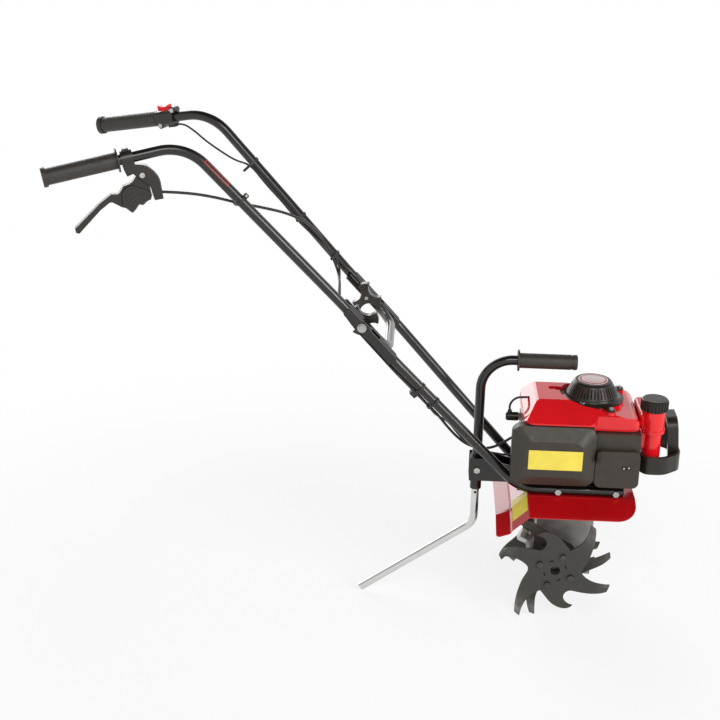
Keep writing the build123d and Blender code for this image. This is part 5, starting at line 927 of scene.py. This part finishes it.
def seen_directly(tree):
    """One where a ray comes from the camera, a mirror-like surface or clear material."""
    path = tree.nodes.new("ShaderNodeLightPath")
    total = path.outputs["Is Camera Ray"]
    for name in ("Is Glossy Ray", "Is Transmission Ray"):
        both = tree.nodes.new("ShaderNodeMath")
        both.operation = "MAXIMUM"
        tree.links.new(total, both.inputs[0])
        tree.links.new(path.outputs[name], both.inputs[1])
        total = both.outputs["Value"]
    return total


def backdrop_finish(name):
    """A floor that reads white to the camera, with a soft shadow kept near the machine."""
    material, tree, surface, place = new_finish(name, FLOOR_COLOUR, roughness=0.9, gloss=0.0)
    reach = tree.nodes.new("ShaderNodeVectorMath")
    reach.operation = "LENGTH"
    tree.links.new(place, reach.inputs[0])
    far = spread(tree, reach.outputs["Value"], low=FLOOR_GLOW, start=FLOOR_NEAR, end=FLOOR_FAR)
    white = tree.nodes.new("ShaderNodeMath")
    white.operation = "MULTIPLY"
    tree.links.new(far, white.inputs[0])
    tree.links.new(seen_directly(tree), white.inputs[1])
    glow = tree.nodes.new("ShaderNodeEmission")
    mix = tree.nodes.new("ShaderNodeMixShader")
    tree.links.new(white.outputs["Value"], mix.inputs["Fac"])
    tree.links.new(surface.outputs["BSDF"], mix.inputs[1])
    tree.links.new(glow.outputs["Emission"], mix.inputs[2])
    tree.links.new(mix.outputs["Shader"], tree.nodes["Material Output"].inputs["Surface"])
    return material


def lamp(name, place, aim, size, watts):
    """A soft rectangular lamp turned to its aim."""
    clear_selection()
    bpy.ops.object.light_add(type="AREA", location=place)
    light = bpy.context.object
    light.name = name
    light.data.shape = "RECTANGLE"
    light.data.size, light.data.size_y = size
    light.data.energy = watts
    light.visible_camera = False
    light.rotation_euler = (Vector(aim) - Vector(place)).to_track_quat("-Z", "Y").to_euler()


def set_world(scene):
    """A white backdrop all round, falling to a dim ceiling."""
    world = bpy.data.worlds.new("studio")
    world.use_nodes = True
    tree = world.node_tree
    parts = tree.nodes.new("ShaderNodeSeparateXYZ")
    tree.links.new(tree.nodes.new("ShaderNodeTexCoord").outputs["Generated"], parts.inputs["Vector"])
    sky = tree.nodes["Background"]
    sky.inputs["Color"].default_value = (1.0, 1.0, 1.0, 1.0)
    dim = spread(tree, parts.outputs["Z"], low=1.0, high=CEILING, start=CEILING_START, end=CEILING_END)
    tree.links.new(dim, sky.inputs["Strength"])
    scene.world = world


def set_camera(scene, stage):
    """The photograph's viewpoint."""
    aim = ORIGIN_SHIFT + CAMERA_AIM
    turn, rise, roll = stage.azimuth, stage.elevation, stage.roll
    back = Vector((math.sin(turn) * math.cos(rise), -math.cos(turn) * math.cos(rise), math.sin(rise)))
    right = Vector((math.cos(turn), math.sin(turn), 0.0))
    up = back.cross(right)
    rolled_right = right * math.cos(roll) + up * math.sin(roll)
    rolled_up = up * math.cos(roll) - right * math.sin(roll)
    clear_selection()
    bpy.ops.object.camera_add()
    camera = bpy.context.object
    camera.name = "photo camera"
    camera.matrix_world = Matrix((
        (rolled_right.x, rolled_up.x, back.x, aim.x + back.x * stage.distance),
        (rolled_right.y, rolled_up.y, back.y, aim.y + back.y * stage.distance),
        (rolled_right.z, rolled_up.z, back.z, aim.z + back.z * stage.distance),
        (0.0, 0.0, 0.0, 1.0)))
    camera.data.sensor_width = SENSOR
    camera.data.lens = stage.lens
    scene.camera = camera


class TILLER_PT_panel(bpy.types.Panel):
    """Lists the tiller's pieces"""

    bl_idname = "TILLER_PT_panel"
    bl_label = "Garden tiller"
    bl_space_type = "VIEW_3D"
    bl_region_type = "UI"
    bl_category = "Tiller"

    def draw(self, context):
        for step in STEPS:
            self.layout.operator(step)


STEPS = ("tiller.handle", "tiller.cables", "tiller.controls", "tiller.engine", "tiller.trim",
         "tiller.ground", "tiller.stickers", "tiller.stage")
CLASSES = (TillerColours, TillerSizes, TillerStage, TILLER_OT_handle, TILLER_OT_cables, TILLER_OT_controls,
           TILLER_OT_engine, TILLER_OT_trim, TILLER_OT_ground, TILLER_OT_stickers, TILLER_OT_stage,
           TILLER_PT_panel)


def register():
    """Adds the classes and the scene's settings."""
    for item in CLASSES:
        bpy.utils.register_class(item)
    bpy.types.Scene.tiller_colours = PointerProperty(type=TillerColours)
    bpy.types.Scene.tiller_sizes = PointerProperty(type=TillerSizes)
    bpy.types.Scene.tiller_stage = PointerProperty(type=TillerStage)


def unregister():
    """Takes the settings and the classes out again."""
    del bpy.types.Scene.tiller_stage
    del bpy.types.Scene.tiller_sizes
    del bpy.types.Scene.tiller_colours
    for item in reversed(CLASSES):
        bpy.utils.unregister_class(item)


def main():
    """Builds the scene."""
    register()
    bpy.ops.tiller.handle()
    bpy.ops.tiller.cables()
    bpy.ops.tiller.controls()
    bpy.ops.tiller.engine()
    bpy.ops.tiller.trim()
    bpy.ops.tiller.ground()
    bpy.ops.tiller.stickers()
    bpy.ops.tiller.stage()


if __name__ == "__main__":
    main()
